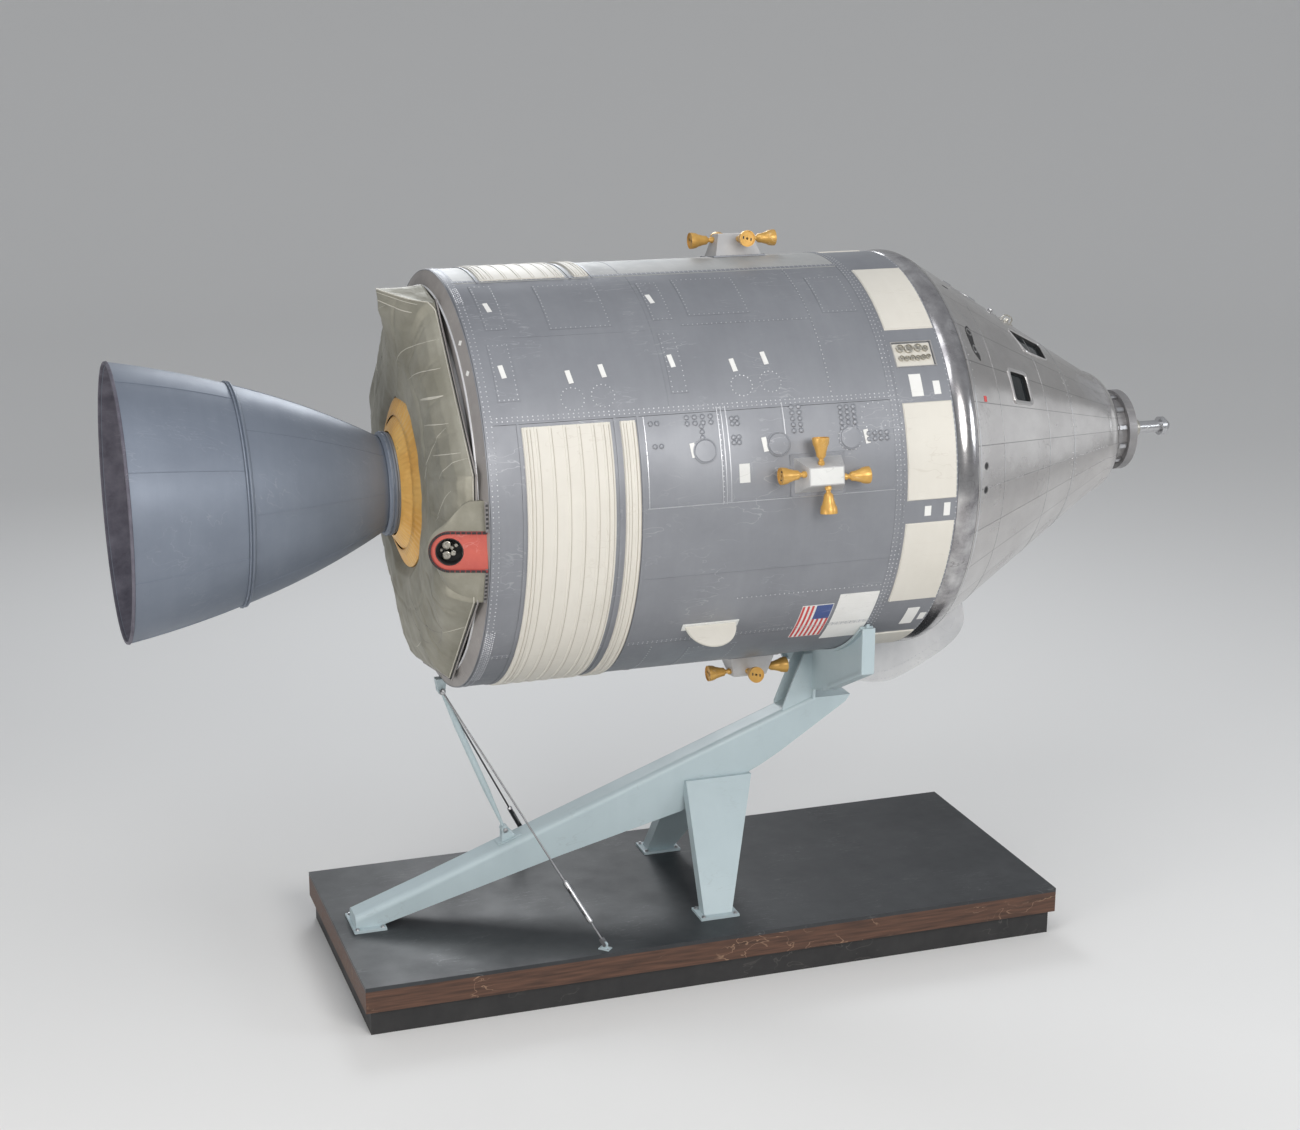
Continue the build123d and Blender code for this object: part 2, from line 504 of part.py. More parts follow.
inner_r = SHOULDER_R - SHIELD_T
shield = (ThreePointArc(on_dish(SHIELD_SPHERE, 0), on_dish(SHIELD_SPHERE, bulb_deg / 2),
                        on_dish(SHIELD_SPHERE, bulb_deg))
          + ThreePointArc(on_dish(SHIELD_SPHERE, bulb_deg), on_shoulder(SHOULDER_R, -20),
                          on_shoulder(SHOULDER_R, CONE_DEG))
          + Line(on_shoulder(SHOULDER_R, CONE_DEG), on_shoulder(inner_r, CONE_DEG))
          + ThreePointArc(on_shoulder(inner_r, CONE_DEG), on_shoulder(inner_r, -20),
                          on_dish(SHIELD_SPHERE - SHIELD_T, bulb_deg))
          + ThreePointArc(on_dish(SHIELD_SPHERE - SHIELD_T, bulb_deg),
                          on_dish(SHIELD_SPHERE - SHIELD_T, bulb_deg / 2), on_dish(SHIELD_SPHERE - SHIELD_T, 0))
          + Line(on_dish(SHIELD_SPHERE - SHIELD_T, 0), on_dish(SHIELD_SPHERE, 0)))
save("capsule_heat_shield", spun_curve(shield))

SEAM = 4.0
x_lo = CONE_X0 + SEAM
x_hi = FORWARD_SEAM_X - SEAM
wall_r = CABIN_WALL / COS_A
shell = spun([(x_lo, cone_r(x_lo)), (x_hi, cone_r(x_hi)), (x_hi, 380), (x_hi - 70, 380),
              (x_hi - 70, cone_r(x_hi - 70) - wall_r), (x_lo + 60, cone_r(x_lo + 60) - wall_r),
              (x_lo + 60, 0), (x_lo, 0)])

# Hatch opening and hatch: plug tapering inwards, on the cone at the top
HATCH_X = 8330.0
HATCH_L = 740.0
HATCH_W = 860.0
HATCH_CLEAR = 8.0
HATCH_TAPER = 10.0
hatch_base = on_cone(HATCH_X, 0, -260)


def plug(length, width, corner, depth):
    grow = depth * math.tan(math.radians(HATCH_TAPER))
    low = hatch_base * RectangleRounded(length - 2 * grow, width - 2 * grow, corner)
    top = hatch_base.offset(depth) * RectangleRounded(length, width, corner + grow / 2)
    return loft([low, top])


PLUG_H = 330.0
hole = plug(HATCH_L + 2 * HATCH_CLEAR, HATCH_W + 2 * HATCH_CLEAR, 60 + HATCH_CLEAR, PLUG_H)
door = shell & plug(HATCH_L, HATCH_W, 60, PLUG_H)
shell = shell - hole
HATCH_GLASS_R = 115.0
port = on_cone(HATCH_X + 20, 0, -200) * Cylinder(HATCH_GLASS_R, 500)
door = door - port

# Hatch hinge on the +Y edge: knuckles on the door between knuckles on the shell, on one pin line
HINGE_Y = 416.0
HINGE_LIFT = -28.5
KNUCKLE_R = 12.0
KNUCKLE_PIN_R = 6.0
HINGE_SPOTS = (-240.0, 240.0)
hinge_plane = on_cone(HATCH_X, 0)
door_strap = [(416, -17), (330, -17), (314, -26), (314, -60), (400, -66), (416, -40)]
shell_strap = [(416, -16), (430, -18), (500, -56), (514, -78), (514, -100), (446, -82), (446, -44),
               (416, -39)]


def strap(outline, length):
    side = Plane.YZ * make_face(Polyline(*outline, close=True))
    barrel = Pos(0, HINGE_Y, HINGE_LIFT) * Rot(0, 90, 0) * Cylinder(KNUCKLE_R, length)
    return extrude(side, length / 2, both=True) + barrel


pin_line = Pos(0, HINGE_Y, HINGE_LIFT) * Rot(0, 90, 0)
door_knuckle = strap(door_strap, 60) - pin_line * Cylinder(KNUCKLE_PIN_R + 0.6, 80)
for spot in HINGE_SPOTS:
    door = door + hinge_plane * Pos(spot, 0, 0) * door_knuckle
    for step in (-46, 46):
        shell = shell + hinge_plane * Pos(spot + step, 0, 0) * strap(shell_strap, 26)
    shell = shell + hinge_plane * Pos(spot, 0, 0) * pin_line * Cylinder(KNUCKLE_PIN_R, 110)
save("side_hatch", max(door.solids(), key=lambda s: s.volume))
save("hatch_window", on_cone(HATCH_X + 20, 0, -22) * Cylinder(HATCH_GLASS_R - 2, 14))

# Windows: x centre, angle, outline (along the slope, across towards the top)
WINDOWS = [
    (8800, 30, [(-284, 108), (238, 144), (212, -93), (-161, -167)]),
    (8380, 57.7, [(-140, 146), (128, 138), (142, -130), (-136, -150)])]
panes, frames = [], []
for x, angle, outline in WINDOWS:
    for side in (-1, 1):
        place = on_cone(x, side * angle)
        pts = [(u, v * side) for u, v in outline]
        face = place * fillet(make_face(Polyline(*pts, close=True)).vertices(), 34)
        shell = shell - extrude(face, 200, both=True)
        glass_pts = [(u * 0.985, v * 0.985) for u, v in pts]
        glass = place * fillet(make_face(Polyline(*glass_pts, close=True)).vertices(), 33)
        panes.append(extrude(glass.moved(Location(place.z_dir * -42)), 12))
save("cabin_windows", *panes)
shell = max(shell.solids(), key=lambda s: s.volume)

# Thruster ports on the capsule: x, angle, radius
PORTS = [(7735, 84, 38), (7735, 91, 38), (7735, -84, 38), (7735, -91, 38), (7735, 174, 38), (7735, 186, 38),
         (7822, 42, 34), (7845, 50.3, 34), (7822, -42, 34), (7845, -50.3, 34)]
rims = []
for x, angle, r in PORTS:
    place = on_cone(x, angle)
    shell = shell - place * Cylinder(r, 60)
    rims.append(place * Pos(0, 0, -14) * (Cylinder(r - 1, 26) - Pos(0, 0, 6) * Cylinder(r - 10, 26)))
save("capsule_ports", *rims)
save("crew_shell", max(shell.solids(), key=lambda s: s.volume))

x_f = FORWARD_SEAM_X
end_r = cone_r(CONE_END_X)
cap = (Line((x_f, cone_r(x_f)), (CONE_END_X, end_r))
       + ThreePointArc((CONE_END_X, end_r), (APEX_ROUND_X - 70, (end_r + TUNNEL_R) / 2 + 60),
                       (APEX_ROUND_X, TUNNEL_R + 6))
       + Line((APEX_ROUND_X, TUNNEL_R + 6), (x_f, TUNNEL_R + 6))
       + Line((x_f, TUNNEL_R + 6), (x_f, cone_r(x_f))))
save("forward_shield", spun_curve(cap))

tunnel = spun([(x_hi + SEAM, TUNNEL_R - TUNNEL_WALL), (x_hi + SEAM, TUNNEL_R), (TUNNEL_X1 - 90, TUNNEL_R),
               (TUNNEL_X1 - 90, DOCK_RING_R), (TUNNEL_X1, DOCK_RING_R), (TUNNEL_X1, TUNNEL_R - TUNNEL_WALL)])
tunnel = tunnel + spun([(9700, 0), (9700, TUNNEL_R - 1), (9740, TUNNEL_R - 1), (9740, 0)])
save("docking_tunnel", tunnel)

# Docking probe: fixed cylinder with three arms, sliding piston with its capture head
cyl = spun([(9742, PROBE_R + 6), (9742, PROBE_R + 28), (10420, PROBE_R + 28), (10420, PROBE_R + 6)])
for i in range(3):
    arm_dir = radial(60 + i * 120)
    arm_from = Vector(10300, 0, 0) + arm_dir * (PROBE_R + 20)
    arm_to = Vector(10120, 0, 0) + arm_dir * (TUNNEL_R - TUNNEL_WALL + 4)
    arm_run = (arm_to - arm_from).normalized()
    arm_plane = Plane(origin=(arm_from + arm_to) / 2, x_dir=arm_run.cross(arm_dir), z_dir=arm_run)
    cyl = cyl + arm_plane * Cylinder(18, (arm_to - arm_from).length)
save("probe_body", cyl - tunnel)
head = spun([(10040, 0), (10040, PROBE_R), (PROBE_TIP_X - 110, PROBE_R), (PROBE_TIP_X - 110, 95),
             (PROBE_TIP_X - 60, 95), (PROBE_TIP_X, 40), (PROBE_TIP_X, 0)])
save("probe_head", head)

# Cabin: three couches with side rails, and the main display console with its screen openings
couch_side = [(7960, 760), (8000, 760), (8000, -40), (8420, -110), (8620, -560), (8560, -590), (8370, -150),
              (7960, -90)]
pan = extrude(Plane.XZ * make_face(Polyline(*couch_side, close=True)), 250, both=True)
rail_side = [(7960, 640), (8070, 640), (8076, 50), (8420, -40), (8480, -160), (8370, -150), (7960, -90)]
rail = extrude(Plane.XZ * make_face(Polyline(*rail_side, close=True)), 14, both=True)
couch = pan + Pos(0, -264, 0) * rail + Pos(0, 264, 0) * rail + Pos(8030, 0, 660) * Box(60, 280, 190)
couch = couch - Pos(7980, 0, 330) * Box(200, 220, 60) - Pos(7980, 0, 120) * Box(200, 220, 60)
save("crew_couches", *[Pos(0, y, 0) * couch for y in (-590, 0, 590)])
console = Pos(8700, 0, 120) * Box(90, 1150, 520)
console = chamfer(console.edges().filter_by(Axis.X), 90)
for y in (-360, 0, 360):
    console = console - Pos(8655, y, 190) * Box(40, 300, 210)
    console = console - Pos(8655, y, -30) * Box(24, 300, 130)
save("display_console", console)
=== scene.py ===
import math

import bmesh
import bpy
import numpy as np
from mathutils import Matrix, Vector


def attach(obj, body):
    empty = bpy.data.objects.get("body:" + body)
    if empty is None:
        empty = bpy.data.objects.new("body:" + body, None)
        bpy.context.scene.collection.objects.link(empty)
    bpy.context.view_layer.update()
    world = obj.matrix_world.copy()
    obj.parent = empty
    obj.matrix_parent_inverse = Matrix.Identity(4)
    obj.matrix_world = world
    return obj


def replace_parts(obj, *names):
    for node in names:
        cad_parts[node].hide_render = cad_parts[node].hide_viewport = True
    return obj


# Lengths are metres. Profiles are in the vehicle's own frame, with the nozzle exit at x = 0 and the axis
# at y = z = 0; vehicleShift carries them into the shared frame. Angles round the axis are degrees from
# the top, turning towards -Y
vehicleShift = np.array([-5.4, .0, 4.9])
hullRadius = 1.956
hullDegrees = 29.0  # degrees round the hull to a metre of skin, nearly; patterns use it

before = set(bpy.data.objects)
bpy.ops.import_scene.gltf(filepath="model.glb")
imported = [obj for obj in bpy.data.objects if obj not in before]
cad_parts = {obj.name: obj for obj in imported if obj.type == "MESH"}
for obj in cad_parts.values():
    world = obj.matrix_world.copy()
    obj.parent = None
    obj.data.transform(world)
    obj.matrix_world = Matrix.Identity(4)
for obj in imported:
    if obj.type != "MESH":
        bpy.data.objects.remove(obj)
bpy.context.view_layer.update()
print("stage: frame loaded")


# Geometry helpers

# Direction square to the axis at an angle round it
def radialDir(angle):
    turn = np.radians(np.asarray(angle, float))
    return np.stack([np.zeros_like(turn), -np.sin(turn), np.cos(turn)], -1)


# Even angles once round, in radians
def fullTurn(count):
    return np.linspace(0, 2 * math.pi, count, endpoint=False)


# Points in the shared frame from x, radius and angle
def wrap(x, radius, angle):
    x, radius, angle = np.broadcast_arrays(np.asarray(x, float), radius, angle)
    out = radialDir(angle) * radius[..., None]
    out[..., 0] += x
    return out + vehicleShift


# Four-sided faces of a grid of points, which may close on itself either way
def gridFaces(countU, countV, closeU=False, closeV=False, base=0):
    u = np.arange(countU if closeU else countU - 1)
    v = np.arange(countV if closeV else countV - 1)
    a, b = np.meshgrid(u, v, indexing="ij")
    a2 = (a + 1) % countU
    b2 = (b + 1) % countV
    quads = np.stack([a * countV + b, a2 * countV + b, a2 * countV + b2, a * countV + b2], -1)
    return (quads.reshape(-1, 4) + base).tolist()


# Mesh object that rides on a body, with a finish
def addMesh(name, verts, faces, material, body="craft", sharpDeg=32.0, tidy=True, weld=False):
    mesh = bpy.data.meshes.new(name)
    mesh.from_pydata(np.asarray(verts, float).reshape(-1, 3).tolist(), [], faces)
    if tidy:
        work = bmesh.new()
        work.from_mesh(mesh)
        if weld:
            bmesh.ops.remove_doubles(work, verts=work.verts, dist=1e-5)
            bmesh.ops.dissolve_degenerate(work, edges=work.edges, dist=1e-5)
        bmesh.ops.recalc_face_normals(work, faces=work.faces)
        work.to_mesh(mesh)
        work.free()
    mesh.shade_smooth()
    mesh.set_sharp_from_angle(angle=math.radians(sharpDeg))
    obj = bpy.data.objects.new(name, mesh)
    bpy.context.scene.collection.objects.link(obj)
    mesh.materials.append(materials[material])
    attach(obj, body)
    return obj


# Turns a closed (x, radius) outline once round the vehicle axis
def lathe(name, profile, material, body="craft", segments=160, sharpDeg=32.0):
    profile = np.asarray(profile, float)
    angle = np.linspace(0, 360, segments, endpoint=False)
    verts = wrap(profile[:, 0][:, None], profile[:, 1][:, None], angle[None, :])
    return addMesh(name, verts, gridFaces(len(profile), segments, True, True), material, body, sharpDeg)


# Closed shell over a grid of x and angle between two radius fields, high over low
def slab(x, angle, low, high):
    countU, countV = low.shape
    top = wrap(x, high, angle).reshape(-1, 3)
    bottom = wrap(x, low, angle).reshape(-1, 3)
    half = countU * countV
    faces = gridFaces(countU, countV) + [f[::-1] for f in gridFaces(countU, countV, base=half)]
    rim = [(i * countV, (i + 1) * countV) for i in range(countU - 1)]
    rim += [((countU - 1) * countV + j, (countU - 1) * countV + j + 1) for j in range(countV - 1)]
    rim += [((i + 1) * countV + countV - 1, i * countV + countV - 1) for i in range(countU - 1)]
    rim += [(j + 1, j) for j in range(countV - 1)]
    faces += [[a, a + half, b + half, b] for a, b in rim]
    return np.concatenate([top, bottom]), faces


# Even grid of x and angle over a patch
def slabGrid(x0, x1, start, stop, countX, countA):
    return np.meshgrid(np.linspace(x0, x1, countX), np.linspace(start, stop, countA), indexing="ij")


# Slab over a patch between two fixed radii; counts are its points along x and round the hull
def evenSlab(x0, x1, start, stop, counts, low, high):
    x, angle = slabGrid(x0, x1, start, stop, *counts)
    return slab(x, angle, np.full(x.shape, low), np.full(x.shape, high))


# One (verts, faces) pair out of many
def joined(parts):
    verts, faces, base = [], [], 0
    for partVerts, partFaces in parts:
        partVerts = np.asarray(partVerts, float).reshape(-1, 3)
        verts.append(partVerts)
        faces += [[i + base for i in f] for f in partFaces]
        base += len(partVerts)
    return np.concatenate(verts), faces


# Copies a small (verts, faces) template into each frame (origin, u, v, normal)
def stamp(template, frames):
    verts, faces = template
    verts = np.asarray(verts, float)
    parts = []
    for origin, u, v, n in frames:
        parts.append((origin + verts[:, :1] * u + verts[:, 1:2] * v + verts[:, 2:3] * n, faces))
    return joined(parts)


# The frame moved by du, dv and dn along its own directions
def shifted(place, du=.0, dv=.0, dn=.0):
    origin, u, v, n = place
    return origin + u * du + v * dv + n * dn, u, v, n


# The two directions u and v turned about their normal by an angle in degrees
def swing(u, v, turn):
    c, s = math.cos(math.radians(turn)), math.sin(math.radians(turn))
    return u * c + v * s, v * c - u * s


# Frame on a cylinder round the axis: u ahead, v round it, n outwards
def hullFrame(x, angle, radius=hullRadius, turn=.0):
    n = radialDir(angle)
    u = np.array([1.0, 0, 0])
    return wrap(x, radius, angle), *swing(u, np.cross(n, u), turn), n


# The cone starts where it touches the rolled edge of the heat shield
coneHalf = math.radians(31.4)
edgeRoll = dict(x=7.52, centre=1.76, radius=.196)
coneStart = (edgeRoll["x"] + edgeRoll["radius"] * math.sin(coneHalf),
    edgeRoll["centre"] + edgeRoll["radius"] * math.cos(coneHalf))


# The cone's radius, which falls by the tangent of its half angle
def coneRadius(x):
    return coneStart[1] - (np.asarray(x, float) - coneStart[0]) * math.tan(coneHalf)


# Frame on the cone: u up the slope, v round it, n outwards, lifted along n
def coneFrame(x, angle, lift=.0, turn=.0):
    out = radialDir(angle)
    ahead = np.array([1.0, 0, 0])
    along = ahead * math.cos(coneHalf) - out * math.sin(coneHalf)
    n = ahead * math.sin(coneHalf) + out * math.cos(coneHalf)
    return wrap(x, coneRadius(x), angle) + n * lift, *swing(along, np.cross(n, along), turn), n


# Frame at a point of the vehicle's own frame from its u and its normal
def flatFrame(origin, u, n):
    u = np.asarray(u, float) / np.linalg.norm(u)
    n = np.asarray(n, float) / np.linalg.norm(n)
    return np.asarray(origin, float) + vehicleShift, u, np.cross(n, u), n


# Template turned about its own normal from (radius, height) points, closed at both ends
def turned(profile, sides=12):
    profile = np.asarray(profile, float)
    turn = fullTurn(sides)
    ring = np.stack([np.cos(turn), np.sin(turn)], -1)
    verts = np.concatenate([np.concatenate([ring * r, np.full((sides, 1), h)], 1) for r, h in profile])
    faces = [f[::-1] for f in gridFaces(len(profile), sides, False, True)]
    faces.append(list(range(sides))[::-1])
    faces.append([(len(profile) - 1) * sides + i for i in range(sides)])
    return verts, faces


# Low round head, such as a rivet's, with a skirt that sinks below the skin
def dome(radius, height, sides=8):
    outline = [(radius, -.3 * height), (radius, .0), (radius * .72, height * .72), (radius * .25, height)]
    return turned(outline, sides)


# Box on its base, with its top edges cut back by the bevel
def block(length, width, height, bevel=.0, sink=.0):
    a, b = length / 2, width / 2
    rows = [(a, b, -sink), (a, b, height - bevel), (a - bevel, b - bevel, height)]
    if bevel == 0:
        rows = [(a, b, -sink), (a, b, height)]
    verts = np.array([(sx * p, sy * q, h) for p, q, h in rows
        for sx, sy in ((-1, -1), (1, -1), (1, 1), (-1, 1))])
    faces = [f[::-1] for f in gridFaces(len(rows), 4, False, True)]
    faces.append([3, 2, 1, 0])
    top = 4 * (len(rows) - 1)
    faces.append([top, top + 1, top + 2, top + 3])
    return verts, faces


# Rounds each corner of a convex outline with a quadratic curve
def roundOutline(outline, radius, steps=5):
    pts = np.asarray(outline, float)
    rounded = []
    for i, corner in enumerate(pts):
        before, after = pts[i - 1], pts[(i + 1) % len(pts)]
        a = corner + (before - corner) / np.linalg.norm(before - corner) * radius
        b = corner + (after - corner) / np.linalg.norm(after - corner) * radius
        for t in np.linspace(0, 1, steps):
            rounded.append((1 - t) ** 2 * a + 2 * t * (1 - t) * corner + t * t * b)
    return np.array(rounded)


# Flat ring standing on an outline, with its outer edges eased
def rimRing(inner, width, low, high, ease=.006):
    inner = np.asarray(inner, float)
    centre = inner.mean(0)
    reach = np.linalg.norm(inner - centre, axis=1)[:, None]
    rows = []
    for grow, height in ((0, low), (0, high - ease), (ease, high), (width - ease, high),
            (width, high - ease), (width, low)):
        outline = centre + (inner - centre) * (1 + grow / reach)
        rows.append(np.concatenate([outline, np.full((len(outline), 1), height)], 1))
    return np.concatenate(rows), gridFaces(len(rows), len(inner), True, True)


# Closed tube along a path of points: a circle square to the path at each point
def tube(points, radius, sides=10):
    offRun = [.13, .31, .94]  # any direction that no tube here runs along
    points = np.asarray(points, float)
    run = np.gradient(points, axis=0)
    run /= np.linalg.norm(run, axis=1)[:, None]
    side = np.cross(run, offRun)
    side /= np.linalg.norm(side, axis=1)[:, None]
    up = np.cross(run, side)
    turn = fullTurn(sides)
    radius = np.broadcast_to(radius, len(points))
    verts = points[:, None] + radius[:, None, None] * (np.cos(turn)[None, :, None] * side[:, None]
        + np.sin(turn)[None, :, None] * up[:, None])
    faces = [f[::-1] for f in gridFaces(len(points), sides, False, True)]
    faces.append(list(range(sides))[::-1])
    faces.append([(len(points) - 1) * sides + i for i in range(sides)])
    return verts.reshape(-1, 3), faces


# Sum of a few sine waves at random directions, between about -1 and 1
def smoothNoise(u, v, scale, seed, waveCount=9):
    waves = np.random.default_rng(seed)
    total = np.zeros(np.broadcast(u, v).shape)
    for wave in range(waveCount):
        turn, phase = waves.uniform(0, 2 * math.pi, 2)
        rate = scale * waves.uniform(.6, 1.7)
        total += np.sin(rate * (np.cos(turn) * u + np.sin(turn) * v) + phase)
    return total / (waveCount / 2)


# Shader helpers

# New node with its properties; each input, by name or number, is linked from a socket or set to a value
def addNode(tree, kind, inputs=None, **props):
    node = tree.nodes.new(kind)
    for key, value in props.items():
        setattr(node, key, value)
    for key, value in (inputs or {}).items():
        if isinstance(value, bpy.types.NodeSocket):
            tree.links.new(value, node.inputs[key])
        else:
            node.inputs[key].default_value = value
    return node


# Links a socket to a node's input
def feed(node, name, socket):
    node.id_data.links.new(socket, node.inputs[name])


# Inputs 6 and 7 of a Mix node are its two colours, output 2 the mixed one
def mixColor(tree, factor, first, second):
    return addNode(tree, "ShaderNodeMix", {0: factor, 6: first, 7: second}, data_type="RGBA").outputs[2]


def ramp(tree, value, low, high, outLow=.0, outHigh=1.0):
    return addNode(tree, "ShaderNodeMapRange", {"Value": value, "From Min": low, "From Max": high,
        "To Min": outLow, "To Max": outHigh}).outputs["Result"]


def mathNode(tree, operation, a, b=.5):
    return addNode(tree, "ShaderNodeMath", {0: a, 1: b}, operation=operation).outputs[0]


# Node group with (label, kind, value) inputs and (label, kind) outputs
def newGroup(name, inputs, outputs):
    group = bpy.data.node_groups.new(name, "ShaderNodeTree")
    for label, kind, value in inputs:
        socket = group.interface.new_socket(name=label, in_out="INPUT", socket_type=kind)
        if value is not None:
            socket.default_value = value
    for label, kind in outputs:
        group.interface.new_socket(name=label, in_out="OUTPUT", socket_type=kind)
    return group, addNode(group, "NodeGroupInput"), addNode(group, "NodeGroupOutput")


def useGroup(tree, group, inputs):
    return addNode(tree, "ShaderNodeGroup", inputs, node_tree=group)


def color(r, g, b):
    return (r, g, b, 1.0)


# Shared shader effects: each group gives only colours, masks, values or normals

floatIn, colorIn, vectorIn = "NodeSocketFloat", "NodeSocketColor", "NodeSocketVector"

# Two tones mixed by soft noise in two sizes
toneGroup, groupIn, groupOut = newGroup("patchyTone",
    [("Vector", vectorIn, None), ("Light", colorIn, color(.5, .5, .5)),
    ("Dark", colorIn, color(.3, .3, .3)), ("Scale", floatIn, 1.5), ("Contrast", floatIn, 1.0)],
    [("Color", colorIn), ("Mask", floatIn)])
broad = addNode(toneGroup, "ShaderNodeTexNoise",
    {"Vector": groupIn.outputs["Vector"], "Scale": groupIn.outputs["Scale"], "Detail": 7.0,
    "Roughness": .62})
spread = mathNode(toneGroup, "MULTIPLY", mathNode(toneGroup, "SUBTRACT", broad.outputs["Fac"], .5),
    groupIn.outputs["Contrast"])
toneMask = addNode(toneGroup, "ShaderNodeMath", {0: spread, 1: .5}, operation="ADD",
    use_clamp=True).outputs[0]
feed(groupOut, "Color", mixColor(toneGroup, toneMask, groupIn.outputs["Dark"], groupIn.outputs["Light"]))
feed(groupOut, "Mask", toneMask)

# Thin scuffs: a stretched noise cut near one level, kept only in patches
scuffGroup, groupIn, groupOut = newGroup("thinScuffs",
    [("Vector", vectorIn, None), ("Scale", floatIn, 3.0), ("Amount", floatIn, .5)], [("Mask", floatIn)])
stretch = addNode(scuffGroup, "ShaderNodeMapping",
    {"Vector": groupIn.outputs["Vector"], "Rotation": (.4, .9, .2), "Scale": (1.0, 7.0, 2.0)})
streak = addNode(scuffGroup, "ShaderNodeTexNoise",
    {"Vector": stretch.outputs["Vector"], "Scale": groupIn.outputs["Scale"], "Detail": 3.0,
    "Distortion": .4})
band = mathNode(scuffGroup, "ABSOLUTE", mathNode(scuffGroup, "SUBTRACT", streak.outputs["Fac"], .5))
line = ramp(scuffGroup, band, .0, .012, 1.0, .0)
patch = addNode(scuffGroup, "ShaderNodeTexNoise",
    {"Vector": groupIn.outputs["Vector"], "Scale": 1.7, "Detail": 2.0})
keep = ramp(scuffGroup, patch.outputs["Fac"], .5, .62)
feed(groupOut, "Mask", mathNode(scuffGroup, "MULTIPLY", mathNode(scuffGroup, "MULTIPLY", line, keep),
    groupIn.outputs["Amount"]))

# Fine grain bump with a softer unevenness under it
grainGroup, groupIn, groupOut = newGroup("grainBump",
    [("Vector", vectorIn, None), ("Scale", floatIn, 60.0), ("Grain", floatIn, .1), ("Wave", floatIn, .1),
    ("Wave Scale", floatIn, 2.0)], [("Normal", vectorIn)])
fine = addNode(grainGroup, "ShaderNodeTexNoise",
    {"Vector": groupIn.outputs["Vector"], "Scale": groupIn.outputs["Scale"], "Detail": 4.0})
soft = addNode(grainGroup, "ShaderNodeTexNoise",
    {"Vector": groupIn.outputs["Vector"], "Scale": groupIn.outputs["Wave Scale"], "Detail": 1.0})
softBump = addNode(grainGroup, "ShaderNodeBump",
    {"Strength": groupIn.outputs["Wave"], "Distance": .05, "Height": soft.outputs["Fac"]})
fineBump = addNode(grainGroup, "ShaderNodeBump",
    {"Strength": groupIn.outputs["Grain"], "Distance": .002, "Height": fine.outputs["Fac"],
    "Normal": softBump.outputs["Normal"]})
feed(groupOut, "Normal", fineBump.outputs["Normal"])

# Crinkled foil: cell edges bent by noise, in two sizes
foilGroup, groupIn, groupOut = newGroup("crinkleFoil",
    [("Vector", vectorIn, None), ("Scale", floatIn, 6.0), ("Strength", floatIn, .4)],
    [("Normal", vectorIn), ("Mask", floatIn)])
warp = addNode(foilGroup, "ShaderNodeTexNoise", {"Vector": groupIn.outputs["Vector"], "Scale": 3.0,
    "Detail": 3.0})
bent = addNode(foilGroup, "ShaderNodeVectorMath", {0: warp.outputs["Color"], 1: (.35, .35, .35)},
    operation="MULTIPLY")
moved = addNode(foilGroup, "ShaderNodeVectorMath", {0: groupIn.outputs["Vector"], 1: bent.outputs[0]},
    operation="ADD")
cells = addNode(foilGroup, "ShaderNodeTexVoronoi",
    {"Vector": moved.outputs[0], "Scale": groupIn.outputs["Scale"]}, feature="F1", distance="EUCLIDEAN")
ripple = addNode(foilGroup, "ShaderNodeTexNoise",
    {"Vector": moved.outputs[0], "Scale": groupIn.outputs["Scale"], "Detail": 8.0, "Roughness": .55})
blend = mathNode(foilGroup, "ADD", mathNode(foilGroup, "MULTIPLY", cells.outputs["Distance"], .8),
    ripple.outputs["Fac"])
foilBump = addNode(foilGroup, "ShaderNodeBump", {"Strength": groupIn.outputs["Strength"], "Distance": .03,
    "Height": blend})
feed(groupOut, "Normal", foilBump.outputs["Normal"])
feed(groupOut, "Mask", ramp(foilGroup, blend, .5, 1.2))

# Long streaks down the hull: noise squeezed along x, so marks run round the hull
streakGroup, groupIn, groupOut = newGroup("hullStreaks",
    [("Vector", vectorIn, None), ("Scale", floatIn, 2.0), ("Along", vectorIn, (6.0, .5, .5))],
    [("Mask", floatIn)])
squeeze = addNode(streakGroup, "ShaderNodeVectorMath",
    {0: groupIn.outputs["Vector"], 1: groupIn.outputs["Along"]}, operation="MULTIPLY")
lines = addNode(streakGroup, "ShaderNodeTexNoise",
    {"Vector": squeeze.outputs[0], "Scale": groupIn.outputs["Scale"], "Detail": 6.0, "Roughness": .6})
feed(groupOut, "Mask", ramp(streakGroup, lines.outputs["Fac"], .35, .65))
print("stage: shader groups built")

